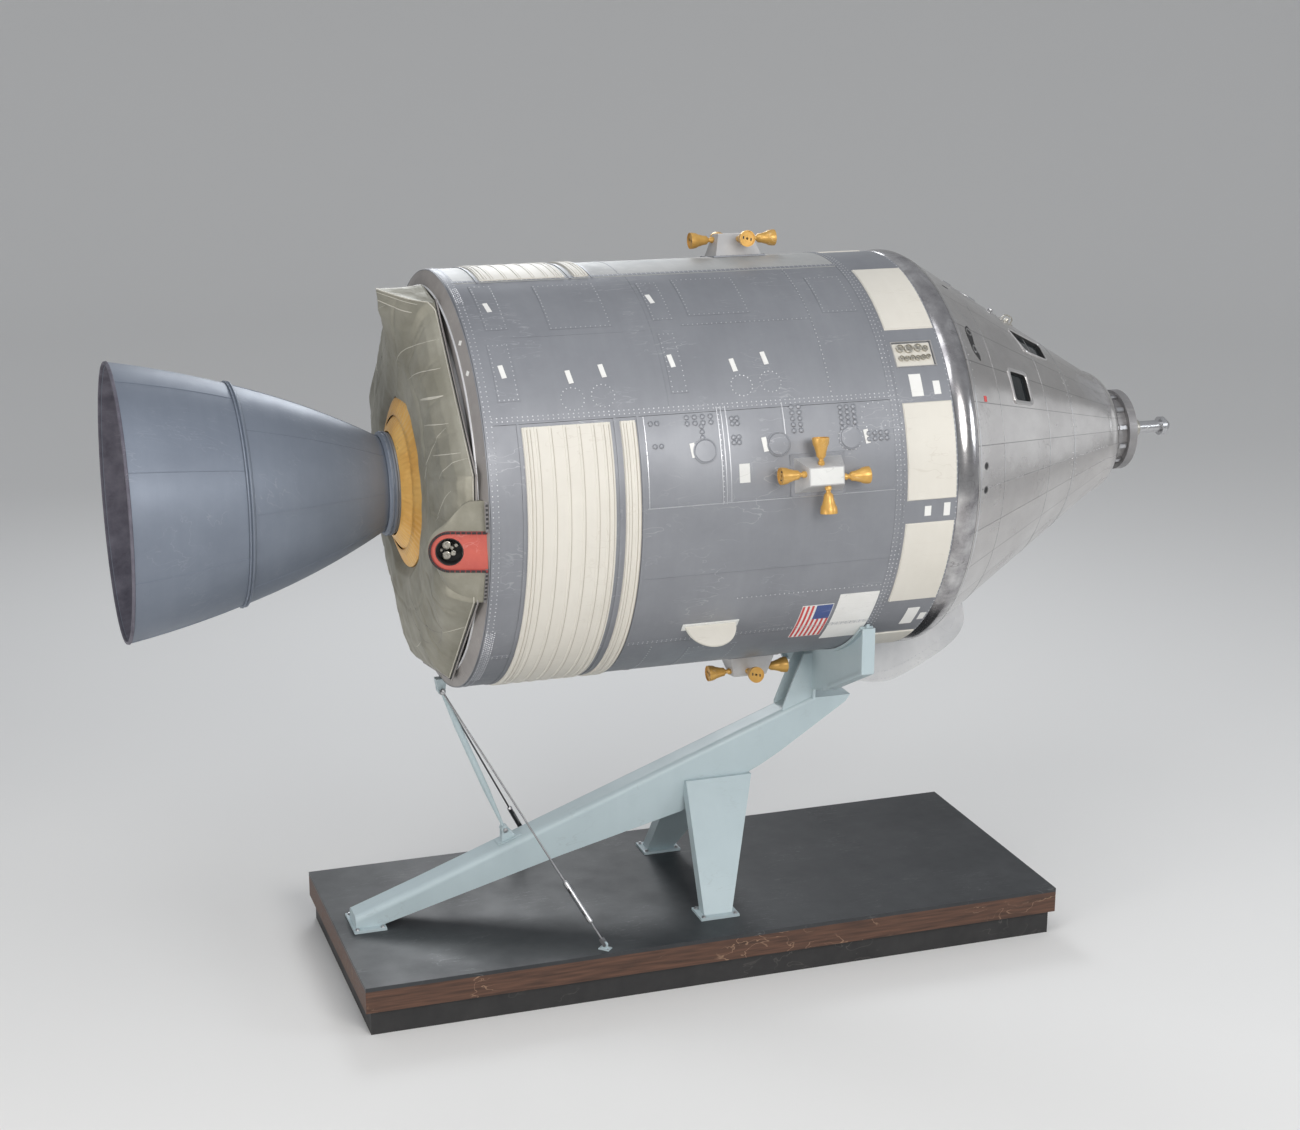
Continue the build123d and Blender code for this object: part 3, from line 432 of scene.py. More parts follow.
# Materials: each row gives the record's slot, the light and dark tone, roughness range, metallic, tone
# scale and contrast, scuff colour and amount, grain, wave and streak strength
finishes = {
    "hullGrey": ("hull_grey", (.325, .335, .36), (.225, .233, .255), (.4, .56), .45, 1.1, 1.6,
        (.62, .63, .66), .3, .05, .05, .22),
    "hullPale": ("hull_grey", (.5, .5, .485), (.37, .375, .375), (.44, .6), .3, 2.4, 1.8,
        (.7, .69, .66), .35, .05, .05, .3),
    "closureBrown": ("hull_grey", (.27, .26, .26), (.18, .172, .172), (.42, .6), .4, 2.6, 1.8,
        (.36, .34, .31), .4, .08, .04, .2),
    # The closure's own brown-grey, lightened as painted light against the shade on the closure ring, recess
    # floor and rim bar
    "closureInner": ("hull_grey", (.4, .375, .36), (.28, .26, .25), (.42, .6), .25, 2.6, 1.8,
        (.6, .57, .53), .4, .08, .04, .2),
    # Quad housing sides: the white of the lids darkened to grey, as painted shade on the sides
    "quadSide": ("quad_white", (.55, .55, .55), (.43, .43, .44), (.35, .5), .15, 5.0, 1.6,
        (.75, .75, .74), .4, .05, .02, .15),
    "housingSilver": ("quad_white", (.69, .69, .69), (.5, .505, .52), (.3, .48), .15, 2.2, 1.8,
        (.34, .34, .35), .45, .05, .08, .25),
    "frameBright": ("foil_silver", (.62, .61, .6), (.46, .45, .45), (.25, .4), .8, 9.0, 1.4,
        (.35, .34, .33), .3, .03, 0, 0),
    "rivet": ("hull_grey", (.66, .67, .7), (.45, .46, .49), (.28, .45), .8, 9.0, 2.0, (.3, .3, .32), .2,
        .03, 0, 0),
    "radiatorCream": ("radiator_white", (.74, .71, .645), (.64, .61, .545), (.42, .6), .0, 1.6, 1.5,
        (.5, .45, .38), .35, .05, .03, .25),
    "radiatorLine": ("radiator_white", (.5, .45, .375), (.4, .355, .29), (.5, .65), .0, 3.0, 1.5,
        (.6, .56, .48), .35, .05, .0, .1),
    "quadWhite": ("quad_white", (.8, .8, .78), (.64, .64, .62), (.35, .55), .0, 4.0, 1.5,
        (.36, .35, .33), .5, .06, .03, .1),
    "hornGold": ("horn_gold", (.78, .47, .13), (.55, .3, .07), (.28, .46), .35, 9.0, 1.6,
        (.88, .7, .42), .6, .05, .04, .1),
    "silverFilm": ("foil_silver", (.8, .8, .81), (.6, .59, .59), (.09, .3), 1.0, 1.6, 2.2,
        (.3, .28, .27), .5, .03, .16, .3),
    "shieldFilm": ("shield_grey", (.66, .65, .65), (.3, .29, .3), (.1, .3), 1.0, 4.5, 3.0,
        (.2, .19, .19), .7, .04, .22, .45),
    "shieldGrey": ("shield_grey", (.36, .35, .35), (.22, .215, .22), (.35, .6), .5, 3.0, 1.8,
        (.55, .54, .52), .4, .08, .05, .2),
    "nozzleBlue": ("nozzle_metal", (.235, .268, .325), (.165, .19, .237), (.42, .58), .35, 1.3, 1.5,
        (.42, .45, .5), .22, .05, .03, .25),
    "nozzleInner": ("nozzle_metal", (.19, .18, .22), (.085, .08, .105), (.5, .75), .2, 5.0, 2.4,
        (.45, .44, .48), .3, .12, .03, .3),
    "bareSteel": ("bare_steel", (.62, .62, .63), (.42, .42, .43), (.22, .4), 1.0, 7.0, 1.5, (.2, .2, .2),
        .4, .04, .02, .1),
    "staySteel": ("bare_steel", (.3, .3, .31), (.19, .19, .2), (.28, .45), .9, 7.0, 1.5,
        (.45, .45, .45), .3, .04, .02, .1),
    "portSteel": ("bare_steel", (.3, .295, .29), (.18, .18, .18), (.32, .5), .6, 7.0, 1.5, (.5, .5, .48),
        .3, .04, .02, .1),
    "recessRed": ("recess_red", (.6, .135, .1), (.44, .08, .065), (.4, .58), .0, 6.0, 1.6,
        (.75, .45, .4), .4, .06, .03, .1),
    "innerMetal": ("inner_metal", (.46, .46, .46), (.32, .32, .33), (.4, .6), .7, 4.0, 1.5, (.6, .6, .6),
        .3, .05, .03, .1),
    "connectorMetal": ("connector_metal", (.6, .58, .52), (.4, .38, .34), (.28, .45), .9, 12.0, 1.6,
        (.2, .2, .18), .4, .05, 0, 0),
    "standPaint": ("stand_paint", (.51, .605, .635), (.42, .51, .54), (.34, .5), .0, 1.2, 1.4,
        (.3, .34, .35), .28, .1, .05, .15),
    "plinthDark": ("plinth_dark", (.035, .034, .034), (.018, .018, .019), (.5, .7), .0, 3.0, 1.5,
        (.12, .11, .1), .5, .08, .02, .1),
    "deckSlate": ("deck_slate", (.038, .041, .045), (.021, .023, .026), (.34, .55), .0, 1.4, 2.0,
        (.17, .175, .18), .45, .05, .03, .0),
    "couchFabric": ("couch_fabric", (.62, .6, .53), (.5, .48, .42), (.8, .92), .0, 8.0, 1.3,
        (.3, .3, .27), .1, .4, .1, .0),
    "consoleGrey": ("console_grey", (.4, .41, .41), (.32, .33, .33), (.45, .6), .1, 6.0, 1.2,
        (.6, .6, .6), .3, .06, .0, .0),
    "labelWhite": ("quad_white", (.84, .84, .82), (.74, .73, .7), (.42, .55), .0, 5.0, 1.4,
        (.45, .44, .42), .4, .02, .0, .05),
    "blackTrim": ("shield_grey", (.035, .034, .035), (.015, .015, .016), (.4, .6), .1, 5.0, 1.4,
        (.2, .2, .2), .3, .04, .0, .0),
    "bandRed": ("recess_red", (.3, .035, .035), (.19, .02, .022), (.4, .55), .0, 8.0, 1.4,
        (.6, .35, .32), .3, .04, .0, .0),
    "foilEdge": ("foil_olive", (.66, .63, .55), (.5, .48, .42), (.4, .55), .2, 6.0, 1.4, (.6, .6, .55),
        .2, .1, .0, .0),
    "stripeRed": ("recess_red", (.66, .085, .08), (.55, .06, .06), (.4, .5), .0, 8.0, 1.2, (.8, .6, .58),
        .3, .02, .0, .0),
    "cornerBlue": ("nozzle_metal", (.07, .11, .3), (.05, .08, .22), (.4, .5), .0, 8.0, 1.2,
        (.5, .55, .7), .3, .02, .0, .0)}
materials = {}


def startMaterial(name):
    made = bpy.data.materials.new(name)
    made.use_nodes = True
    tree = made.node_tree
    shader = tree.nodes["Principled BSDF"]
    coords = addNode(tree, "ShaderNodeTexCoord").outputs["Object"]
    materials[name] = made
    return tree, shader, coords


patternScales = dict(streak=1.6, scuff=2.5, grain=90.0, wave=1.6)


# Patchy tone under streaks and scuffs; the tone's mask sets the roughness too
def buildFinish(name, slot, light, dark, rough, metal, scale, contrast, scuff, scuffShare, grain, wave,
        streak):
    tree, shader, coords = startMaterial(name)
    tone = useGroup(tree, toneGroup, {"Vector": coords, "Light": color(*light), "Dark": color(*dark),
        "Scale": scale, "Contrast": contrast})
    shade = tone.outputs["Color"]
    if streak:
        streaks = useGroup(tree, streakGroup, {"Vector": coords, "Scale": patternScales["streak"]})
        amount = mathNode(tree, "MULTIPLY", streaks.outputs["Mask"], streak)
        shade = mixColor(tree, amount, shade, color(*dark))
    scuffs = useGroup(tree, scuffGroup, {"Vector": coords, "Scale": patternScales["scuff"],
        "Amount": scuffShare})
    shade = mixColor(tree, scuffs.outputs["Mask"], shade, color(*scuff))
    feed(shader, "Base Color", shade)
    feed(shader, "Roughness", ramp(tree, tone.outputs["Mask"], .0, 1.0, rough[1], rough[0]))
    shader.inputs["Metallic"].default_value = metal
    bump = useGroup(tree, grainGroup, {"Vector": coords, "Scale": patternScales["grain"], "Grain": grain,
        "Wave": wave, "Wave Scale": patternScales["wave"]})
    feed(shader, "Normal", bump.outputs["Normal"])


for finishName, row in finishes.items():
    buildFinish(finishName, *row)

# Foils: the olive aft blanket and the gold boot
foils = {
    "foilOlive": dict(
        slot="foil_olive", light=(.4, .385, .325), dark=(.22, .21, .165), rough=(.4, .58), metal=.35,
        size=3.2, strength=.3, patch=2.2, contrast=2.2, shadow=.35),
    "bootGold": dict(
        slot="boot_gold", light=(.93, .6, .2), dark=(.7, .36, .08), rough=(.26, .42), metal=.35,
        size=9.0, strength=.22, patch=2.2, contrast=2.2, shadow=.35),
}


# Crinkled foil: its mask darkens the hollows by the share that shadow gives
def buildFoil(name, spec):
    tree, shader, coords = startMaterial(name)
    crinkle = useGroup(tree, foilGroup, {"Vector": coords, "Scale": spec["size"],
        "Strength": spec["strength"]})
    tone = useGroup(tree, toneGroup, {"Vector": coords, "Light": color(*spec["light"]),
        "Dark": color(*spec["dark"]), "Scale": spec["patch"], "Contrast": spec["contrast"]})
    hollow = mathNode(tree, "MULTIPLY", crinkle.outputs["Mask"], spec["shadow"])
    shade = mixColor(tree, hollow, tone.outputs["Color"], color(*spec["dark"]))
    feed(shader, "Base Color", shade)
    low, high = spec["rough"]
    feed(shader, "Roughness", ramp(tree, tone.outputs["Mask"], 0, 1, high, low))
    shader.inputs["Metallic"].default_value = spec["metal"]
    feed(shader, "Normal", crinkle.outputs["Normal"])


for foilName, foilSpec in foils.items():
    buildFoil(foilName, foilSpec)

film = dict(
    stripWidth=12.4, stripStart=.3, light=(.8, .785, .77), dark=(.6, .58, .57), patch=1.5, contrast=2.0,
    stripTone=(.5, .47, .455), stripShare=.34, joint=(.24, .23, .23), jointHalf=(.006, .016),
    jointShare=.75, streakScale=1.2, streakAlong=(.6, 5.0, 5.0), streak=.22, streakTone=(.5, .48, .48),
    scuffScale=2.5, scuffs=.5, scuffTone=(.3, .28, .27), rough=(.1, .26), roughPerStrip=.1,
    tilt=(.35, .012), swell=(.22, .05), swellScale=1.8)


# Capsule film: bright strips laid along the slope, a dark joint between them. The angle round the axis over
# the strip's width gives the strip's number and the place across it, and the number picks each strip's tone
# and tilt
def buildFilm(values):
    tree, shader, coords = startMaterial("stripFilm")
    parted = addNode(tree, "ShaderNodeSeparateXYZ", {"Vector": coords})
    upward = mathNode(tree, "SUBTRACT", parted.outputs["Z"], float(vehicleShift[2]))
    turnValue = mathNode(tree, "ARCTAN2", parted.outputs["Y"], upward)
    share = mathNode(tree, "ADD", mathNode(tree, "MULTIPLY", turnValue,
        math.degrees(1) / values["stripWidth"]), values["stripStart"])
    number = mathNode(tree, "FLOOR", share, 0)
    within = mathNode(tree, "FRACT", share, 0)
    pick = addNode(tree, "ShaderNodeTexWhiteNoise", {"W": number}, noise_dimensions="1D")
    tone = useGroup(tree, toneGroup, {"Vector": coords, "Light": color(*values["light"]),
        "Dark": color(*values["dark"]), "Scale": values["patch"], "Contrast": values["contrast"]})
    stripShade = ramp(tree, pick.outputs["Value"], 0, 1, .0, values["stripShare"])
    shade = mixColor(tree, stripShade, tone.outputs["Color"], color(*values["stripTone"]))
    toJoint = mathNode(tree, "MINIMUM", within, mathNode(tree, "SUBTRACT", 1.0, within))
    joint = ramp(tree, toJoint, *values["jointHalf"], values["jointShare"], 0)
    shade = mixColor(tree, joint, shade, color(*values["joint"]))
    streaks = useGroup(tree, streakGroup, {"Vector": coords, "Scale": values["streakScale"],
        "Along": values["streakAlong"]})
    streakMask = mathNode(tree, "MULTIPLY", streaks.outputs["Mask"], values["streak"])
    shade = mixColor(tree, streakMask, shade, color(*values["streakTone"]))
    scuffs = useGroup(tree, scuffGroup, {"Vector": coords, "Scale": values["scuffScale"],
        "Amount": values["scuffs"]})
    shade = mixColor(tree, scuffs.outputs["Mask"], shade, color(*values["scuffTone"]))
    feed(shader, "Base Color", shade)
    shader.inputs["Metallic"].default_value = 1.0
    low, high = values["rough"]
    rough = mathNode(tree, "ADD", ramp(tree, tone.outputs["Mask"], 0, 1, high, low),
        mathNode(tree, "MULTIPLY", pick.outputs["Value"], values["roughPerStrip"]))
    feed(shader, "Roughness", rough)
    sheetTilt = mathNode(tree, "MULTIPLY", within, pick.outputs["Value"])
    tiltBump = addNode(tree, "ShaderNodeBump", {"Strength": values["tilt"][0],
        "Distance": values["tilt"][1], "Height": sheetTilt})
    softSheet = addNode(tree, "ShaderNodeTexNoise",
        {"Vector": coords, "Scale": values["swellScale"], "Detail": 2.0})
    sheetBump = addNode(tree, "ShaderNodeBump", {"Strength": values["swell"][0],
        "Distance": values["swell"][1], "Height": softSheet.outputs["Fac"],
        "Normal": tiltBump.outputs["Normal"]})
    feed(shader, "Normal", sheetBump.outputs["Normal"])


wood = dict(light=(.13, .062, .038), dark=(.045, .022, .014), stretch=(.5, 5.0, 9.0), grain=5.0,
    split=(.3, .7), rough=(.42, .6), wornScale=3.0, worn=.8, wornTone=(.38, .24, .15), bump=(.15, .004))


# Plinth timber: noise squeezed across x for the grain, worn in patches towards raw brown
def buildWood(values):
    tree, shader, coords = startMaterial("plinthWood")
    longGrain = addNode(tree, "ShaderNodeVectorMath", {0: coords, 1: values["stretch"]},
        operation="MULTIPLY")
    fibre = addNode(tree, "ShaderNodeTexNoise", {"Vector": longGrain.outputs[0], "Scale": values["grain"],
        "Detail": 8.0})
    shade = mixColor(tree, ramp(tree, fibre.outputs["Fac"], *values["split"]), color(*values["dark"]),
        color(*values["light"]))
    worn = useGroup(tree, scuffGroup, {"Vector": coords, "Scale": values["wornScale"],
        "Amount": values["worn"]})
    shade = mixColor(tree, worn.outputs["Mask"], shade, color(*values["wornTone"]))
    feed(shader, "Base Color", shade)
    rough = ramp(tree, fibre.outputs["Fac"], *values["split"], *values["rough"])
    feed(shader, "Roughness", rough)
    woodBump = addNode(tree, "ShaderNodeBump", {"Strength": values["bump"][0],
        "Distance": values["bump"][1], "Height": fibre.outputs["Fac"]})
    feed(shader, "Normal", woodBump.outputs["Normal"])


glass = dict(tone=(.1, .12, .13), clear=.85, ior=1.45, smearScale=6.0, smear=(.4, .7), rough=(.02, .12))


# Window glass: dark panes with a faint smear
def buildGlass(values):
    tree, shader, coords = startMaterial("windowGlass")
    smear = addNode(tree, "ShaderNodeTexNoise", {"Vector": coords, "Scale": values["smearScale"],
        "Detail": 5.0})
    shader.inputs["Base Color"].default_value = color(*values["tone"])
    shader.inputs["Transmission Weight"].default_value = values["clear"]
    shader.inputs["IOR"].default_value = values["ior"]
    rough = ramp(tree, smear.outputs["Fac"], *values["smear"], *values["rough"])
    feed(shader, "Roughness", rough)


buildFilm(film)
buildWood(wood)
buildGlass(glass)
print("stage: materials built")


# Service module skin: six bay shells with a slight unevenness. Each span is (start, sweep) in degrees, and
# the one on top is paler
bay = dict(spans=((13.8, 50), (63.8, 70), (133.8, 60), (193.8, 50), (243.8, 70), (313.8, 60)), paleSpan=5,
    x0=2.962, x1=6.838, gap=.12, thick=.036, wave=.0009, pointsX=44, pointsPerDegree=1.1)
parts = {"hullGrey": [], "hullPale": []}
for number, (start, sweep) in enumerate(bay["spans"]):
    x, angle = slabGrid(bay["x0"], bay["x1"], start + bay["gap"] / 2, start + sweep - bay["gap"] / 2,
        bay["pointsX"], int(sweep * bay["pointsPerDegree"]))
    high = hullRadius - bay["wave"] * (1 + smoothNoise(x, angle / hullDegrees, 3.0, 11))
    piece = slab(x, angle, np.full(x.shape, hullRadius - bay["thick"]), high)
    parts["hullPale" if number == bay["paleSpan"] else "hullGrey"].append(piece)
for name, finish in (("baySkin", "hullGrey"), ("baySkinTop", "hullPale")):
    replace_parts(addMesh(name, *joined(parts[finish]), finish), "bay_panels")

skirtOutline = [(2.9503, 1.949), (2.9503, 1.9545), (2.952, 1.956), (2.9575, 1.956), (2.9575, 1.9485)]
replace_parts(lathe("aftSkirt", skirtOutline, "hullGrey", segments=220), "aft_skirt")
# The closure ring is in the lightened closure brown: its own brown-grey with painted light against its
# shade
ringOutline = [(2.9515, 1.9482), (2.8945, 1.8125), (2.8945, 1.8005), (2.9165, 1.8005), (2.957, 1.921),
    (2.957, 1.9482)]
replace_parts(lathe("closureRing", ringOutline, "closureInner", segments=220), "aft_skirt")

# Seams on the skin. Those along the hull are (x0, x1, angle, half width, rivet rows), those round it
# (x, start, stop, half width, rivet rows)
seam = dict(
    height=.0016, roundShare=.8, sink=.004, pitch=.046, endGap=.02, rowShare=.55,
    along=((3.02, 6.8, 12.6, .022, 2), (3.02, 6.8, 62.4, .03, 2), (3.02, 6.8, 132.6, .024, 2),
    (3.36, 4.6, 38.7, .008, 0), (4.95, 6.2, 37.6, .008, 1), (4.38, 6.8, 87.4, .008, 0),
    (4.38, 6.8, 108.0, .005, 0), (5.3, 6.8, 117.0, .005, 1), (3.02, 6.8, 192.6, .022, 2),
    (3.02, 6.8, 242.4, .03, 2), (3.02, 6.8, 312.6, .024, 2), (3.36, 4.6, 218.7, .008, 0),
    (4.95, 6.2, 217.6, .008, 1), (4.38, 6.8, 267.4, .008, 0), (5.3, 6.8, 297.0, .005, 1)),
    round=((3.008, 0, 360, .044, 2), (6.8, 0, 360, .032, 2), (6.21, 14, 62, .006, 1),
    (4.4, 64, 87, .004, 1), (5.15, 64, 88, .02, 0), (5.1, 64, 88, .004, 1), (5.7, 64, 72.5, .005, 0),
    (4.66, 14, 62, .004, 0), (6.21, 194, 242, .006, 1), (4.4, 244, 267, .004, 1), (5.15, 244, 268, .02, 0),
    (5.7, 244, 252.5, .005, 0), (4.66, 194, 242, .004, 0), (4.62, 135, 192, .004, 1),
    (4.62, 315, 372, .004, 1)))


# Offsets of a seam's rivet rows from its middle: none, one or two rows
def rowOffsets(rows, half):
    return [0] if rows == 1 else [(row * 2 - 1) * half * seam["rowShare"] for row in range(rows)]


seamLow, seamHigh = hullRadius - seam["sink"], hullRadius + seam["height"]
roundHigh = hullRadius + seam["height"] * seam["roundShare"]
parts, rivetSpots = [], []
for x0, x1, angle, half, rows in seam["along"]:
    spread = math.degrees(half / hullRadius)
    parts.append(evenSlab(x0, x1, angle - spread, angle + spread, (24, 3), seamLow, seamHigh))
    for offset in rowOffsets(rows, spread):
        places = np.arange(x0 + seam["endGap"], x1 - seam["endGap"], seam["pitch"])
        rivetSpots += [(x, angle + offset) for x in places]
for x0, start, stop, half, rows in seam["round"]:
    parts.append(evenSlab(x0 - half, x0 + half, start, stop, (3, max(int(stop - start), 8)), seamLow,
        roundHigh))
    step = math.degrees(seam["pitch"] / hullRadius)
    for offset in rowOffsets(rows, half):
        rivetSpots += [(x0 + offset, a) for a in np.arange(start + step / 2, stop, step)]
addMesh("seamStrips", *joined(parts), "hullGrey")

# Bright plate edges: lines round (x, start, stop) and along (x0, x1, angle), repeated half a turn away
plateEdge = dict(half=.0042, sink=.002, lift=.003, along=((4.384, 6.76, 87.9),),
    round=((5.09, 62.6, 88.2), (5.126, 62.6, 88.2), (5.17, 62.6, 88.0), (5.713, 62.6, 72.4),
    (4.4, 64, 87.8)))
halfWide, halfSpread = plateEdge["half"], math.degrees(plateEdge["half"] / hullRadius)
strips = []
for turn in (0, 180):
    strips += [(x - halfWide, x + halfWide, start + turn, stop + turn, (3, 28))
        for x, start, stop in plateEdge["round"]]
    strips += [(x0, x1, a - halfSpread + turn, a + halfSpread + turn, (12, 3))
        for x0, x1, a in plateEdge["along"]]
addMesh("plateEdges", *joined([evenSlab(*strip, hullRadius - plateEdge["sink"],
    hullRadius + plateEdge["lift"]) for strip in strips]), "rivet")

# Access panels: x0, x1, start, stop; each a thin plate with a rivet border, repeated half a turn away
access = dict(
    thick=.0022, sink=.004, inset=.016, pitch=.05,
    plates=((3.15, 3.36, 16, 36), (3.73, 4.31, 17.3, 36.8), (4.7, 4.9, 18.5, 35.5),
    (3.12, 3.32, 40.7, 57.7), (4.7, 4.86, 40, 58.3), (5.05, 5.65, 17.5, 34.5), (6.35, 6.7, 20, 36),
    (5.0, 5.5, 138, 156)))
inset, pitch = access["inset"], access["pitch"]
insetDegrees = math.degrees(inset / hullRadius)
parts = []
for x0, x1, start0, stop0 in access["plates"]:
    columns = max(round((x1 - x0) / pitch), 2)
    rows = max(round(math.radians(stop0 - start0) * hullRadius / pitch), 2)
    for start, stop in ((start0, stop0), (start0 + 180, stop0 + 180)):
        parts.append(evenSlab(x0, x1, start, stop, (4, 10), hullRadius - access["sink"],
            hullRadius + access["thick"]))
        for x in np.arange(x0 + inset, x1 - inset + .001, (x1 - x0 - 2 * inset) / columns):
            rivetSpots += [(x, start + insetDegrees), (x, stop - insetDegrees)]
        for a in np.linspace(start + insetDegrees, stop - insetDegrees, rows + 1)[1:-1]:
            rivetSpots += [(x0 + inset, a), (x1 - inset, a)]
addMesh("accessPanels", *joined(parts), "hullGrey")

# Dotted circles (x, angle, radius), repeated half a turn away, and fields of close-set rivets by the aft
# edge (x, angle, columns, rows)
rivet = dict(
    circles=((3.79, 58.0, .105), (4.07, 57.6, .105), (5.37, 57.2, .1), (5.65, 56.6, .1), (6.6, 68.0, .13),
    (6.34, 73.2, .115)), circleDots=16, fields=((2.982, 121.5, 5, 31), (2.985, 17.0, 4, 9),
    (2.982, 301.5, 5, 31), (2.985, 197.0, 4, 9)), fieldPitch=.0185, fieldTurn=.86, radius=.007,
    height=.0035, lift=.0008)
for x, angle, r in rivet["circles"]:
    for turn in (0, 180):
        for k in fullTurn(rivet["circleDots"]):
            across = math.degrees(r * math.sin(k) / hullRadius)
            rivetSpots.append((x + r * math.cos(k), angle + turn + across))
for x0, a0, columns, rows in rivet["fields"]:
    rivetSpots += [(x0 + i * rivet["fieldPitch"], a0 + (j + i % 2 * .5) * rivet["fieldTurn"])
        for i in range(columns) for j in range(rows)]
rivetHead = dome(rivet["radius"], rivet["height"], 6)
rivetFrames = [hullFrame(x, a, hullRadius + rivet["lift"]) for x, a in rivetSpots]
addMesh("hullRivets", *stamp(rivetHead, rivetFrames), "rivet", tidy=False)

# Bosses in clusters (x, angle, count along, count round, pitch along, pitch round in degrees) and raised
# discs (x, angle), both repeated half a turn away. Profiles are (radius, height)
boss = dict(
    clusters=((4.8, 65.0, 4, 2, .075, 1.6), (4.93, 67.5, 1, 4, .0, 1.5), (5.8, 64.0, 2, 5, .07, 1.6),
    (6.27, 65.0, 3, 5, .065, 1.4), (6.52, 72.5, 4, 2, .06, 1.5), (4.46, 66, 2, 1, .06, 1.5),
    (4.48, 72, 2, 1, .06, 1.5), (5.22, 66, 2, 2, .05, 1.4), (5.22, 71, 2, 2, .05, 1.4)),
    boss=((.024, -.004), (.024, .003), (.017, .011), (.006, .014)),
    discs=((4.94, 74.0), (5.64, 73.6), (6.34, 73.2)),
    disc=((.112, -.004), (.112, .006), (.104, .008), (.098, .006), (.094, .011), (.03, .013)))
bossSpots = [(x0 + i * pitchX, a0 + j * pitchA + turn)
    for x0, a0, countX, countA, pitchX, pitchA in boss["clusters"] for i in range(countX)
    for j in range(countA) for turn in (0, 180)]
discSpots = [(x, a + turn) for x, a in boss["discs"] for turn in (0, 180)]
addMesh("hullBosses", *joined([stamp(turned(boss["boss"], 12), [hullFrame(x, a) for x, a in bossSpots]),
    stamp(turned(boss["disc"], 36), [hullFrame(x, a) for x, a in discSpots])]), "hullGrey")

# Small markings, bare: white dashes (x, angle) and one plate (x, angle, length along x, width round)
dashes = dict(
    spots=((3.238, 27.1), (3.207, 49.3), (3.795, 51.9), (4.105, 50.7), (4.76, 26.8), (4.759, 49.0),
    (5.329, 51.3), (5.639, 49.8), (4.83, 73.6), (5.51, 73.4), (6.5, 73.2)), length=.045, width=.13,
    height=.0012, sink=.003, lift=.0022, turn=8)
dashBlock = block(dashes["length"], dashes["width"], dashes["height"], 0, dashes["sink"])
dashFrames = [hullFrame(x, a + turn, hullRadius + dashes["lift"], dashes["turn"])
    for x, a in dashes["spots"] for turn in (0, 180)]
addMesh("whiteDashes", *stamp(dashBlock, dashFrames), "labelWhite")
plateX, plateAngle, plateLength, plateWidth = 5.3, 80.5, .1, .17
addMesh("smallPlates", *stamp(block(plateLength, plateWidth, .0018, .0005, .003),
    [hullFrame(plateX, plateAngle + turn) for turn in (0, 180)]), "quadWhite")

# Striped panel with a plain corner, and the bare white panel beside it
panel = dict(x0=6.015, x1=6.32, start=123.0, stop=138.3, lift=.0016, colorLift=.0024, border=.006,
    borderTurn=.2, stripes=13, cornerX=7, cornerShare=.4, bare=(6.36, 6.76, 119.4, 141.6))
panelX0, panelX1, panelStart, panelStop = (panel[k] for k in ("x0", "x1", "start", "stop"))
stripeWide = (panelX1 - panelX0) / panel["stripes"]
cornerX0 = panelX1 - stripeWide * panel["cornerX"]
cornerStop = panelStart + (panelStop - panelStart) * panel["cornerShare"]


# Thin patch of paint or label on the hull, as fine round the hull as the angle needs
def hullPatch(x0, x1, start, stop, lift, low=.003):
    counts = (2, max(int(stop - start) * 2, 3))
    return evenSlab(x0, x1, start, stop, counts, hullRadius - low, hullRadius + lift)


whiteParts = [hullPatch(panelX0 - panel["border"], panelX1 + panel["border"],
    panelStart - panel["borderTurn"], panelStop + panel["borderTurn"], panel["lift"]),
    hullPatch(*panel["bare"], panel["lift"])]
redParts = []
for k in range(0, panel["stripes"], 2):
    x0 = panelX0 + k * stripeWide
    top = cornerStop if x0 > cornerX0 - .001 else panelStart
    redParts.append(hullPatch(x0, x0 + stripeWide, top, panelStop, panel["colorLift"], 0))
addMesh("panelWhite", *joined(whiteParts), "labelWhite")
addMesh("panelStripes", *joined(redParts), "stripeRed")
addMesh("panelCorner", *hullPatch(cornerX0, panelX1, panelStart, cornerStop, panel["colorLift"], 0),
    "cornerBlue")
print("stage: hull skin built")

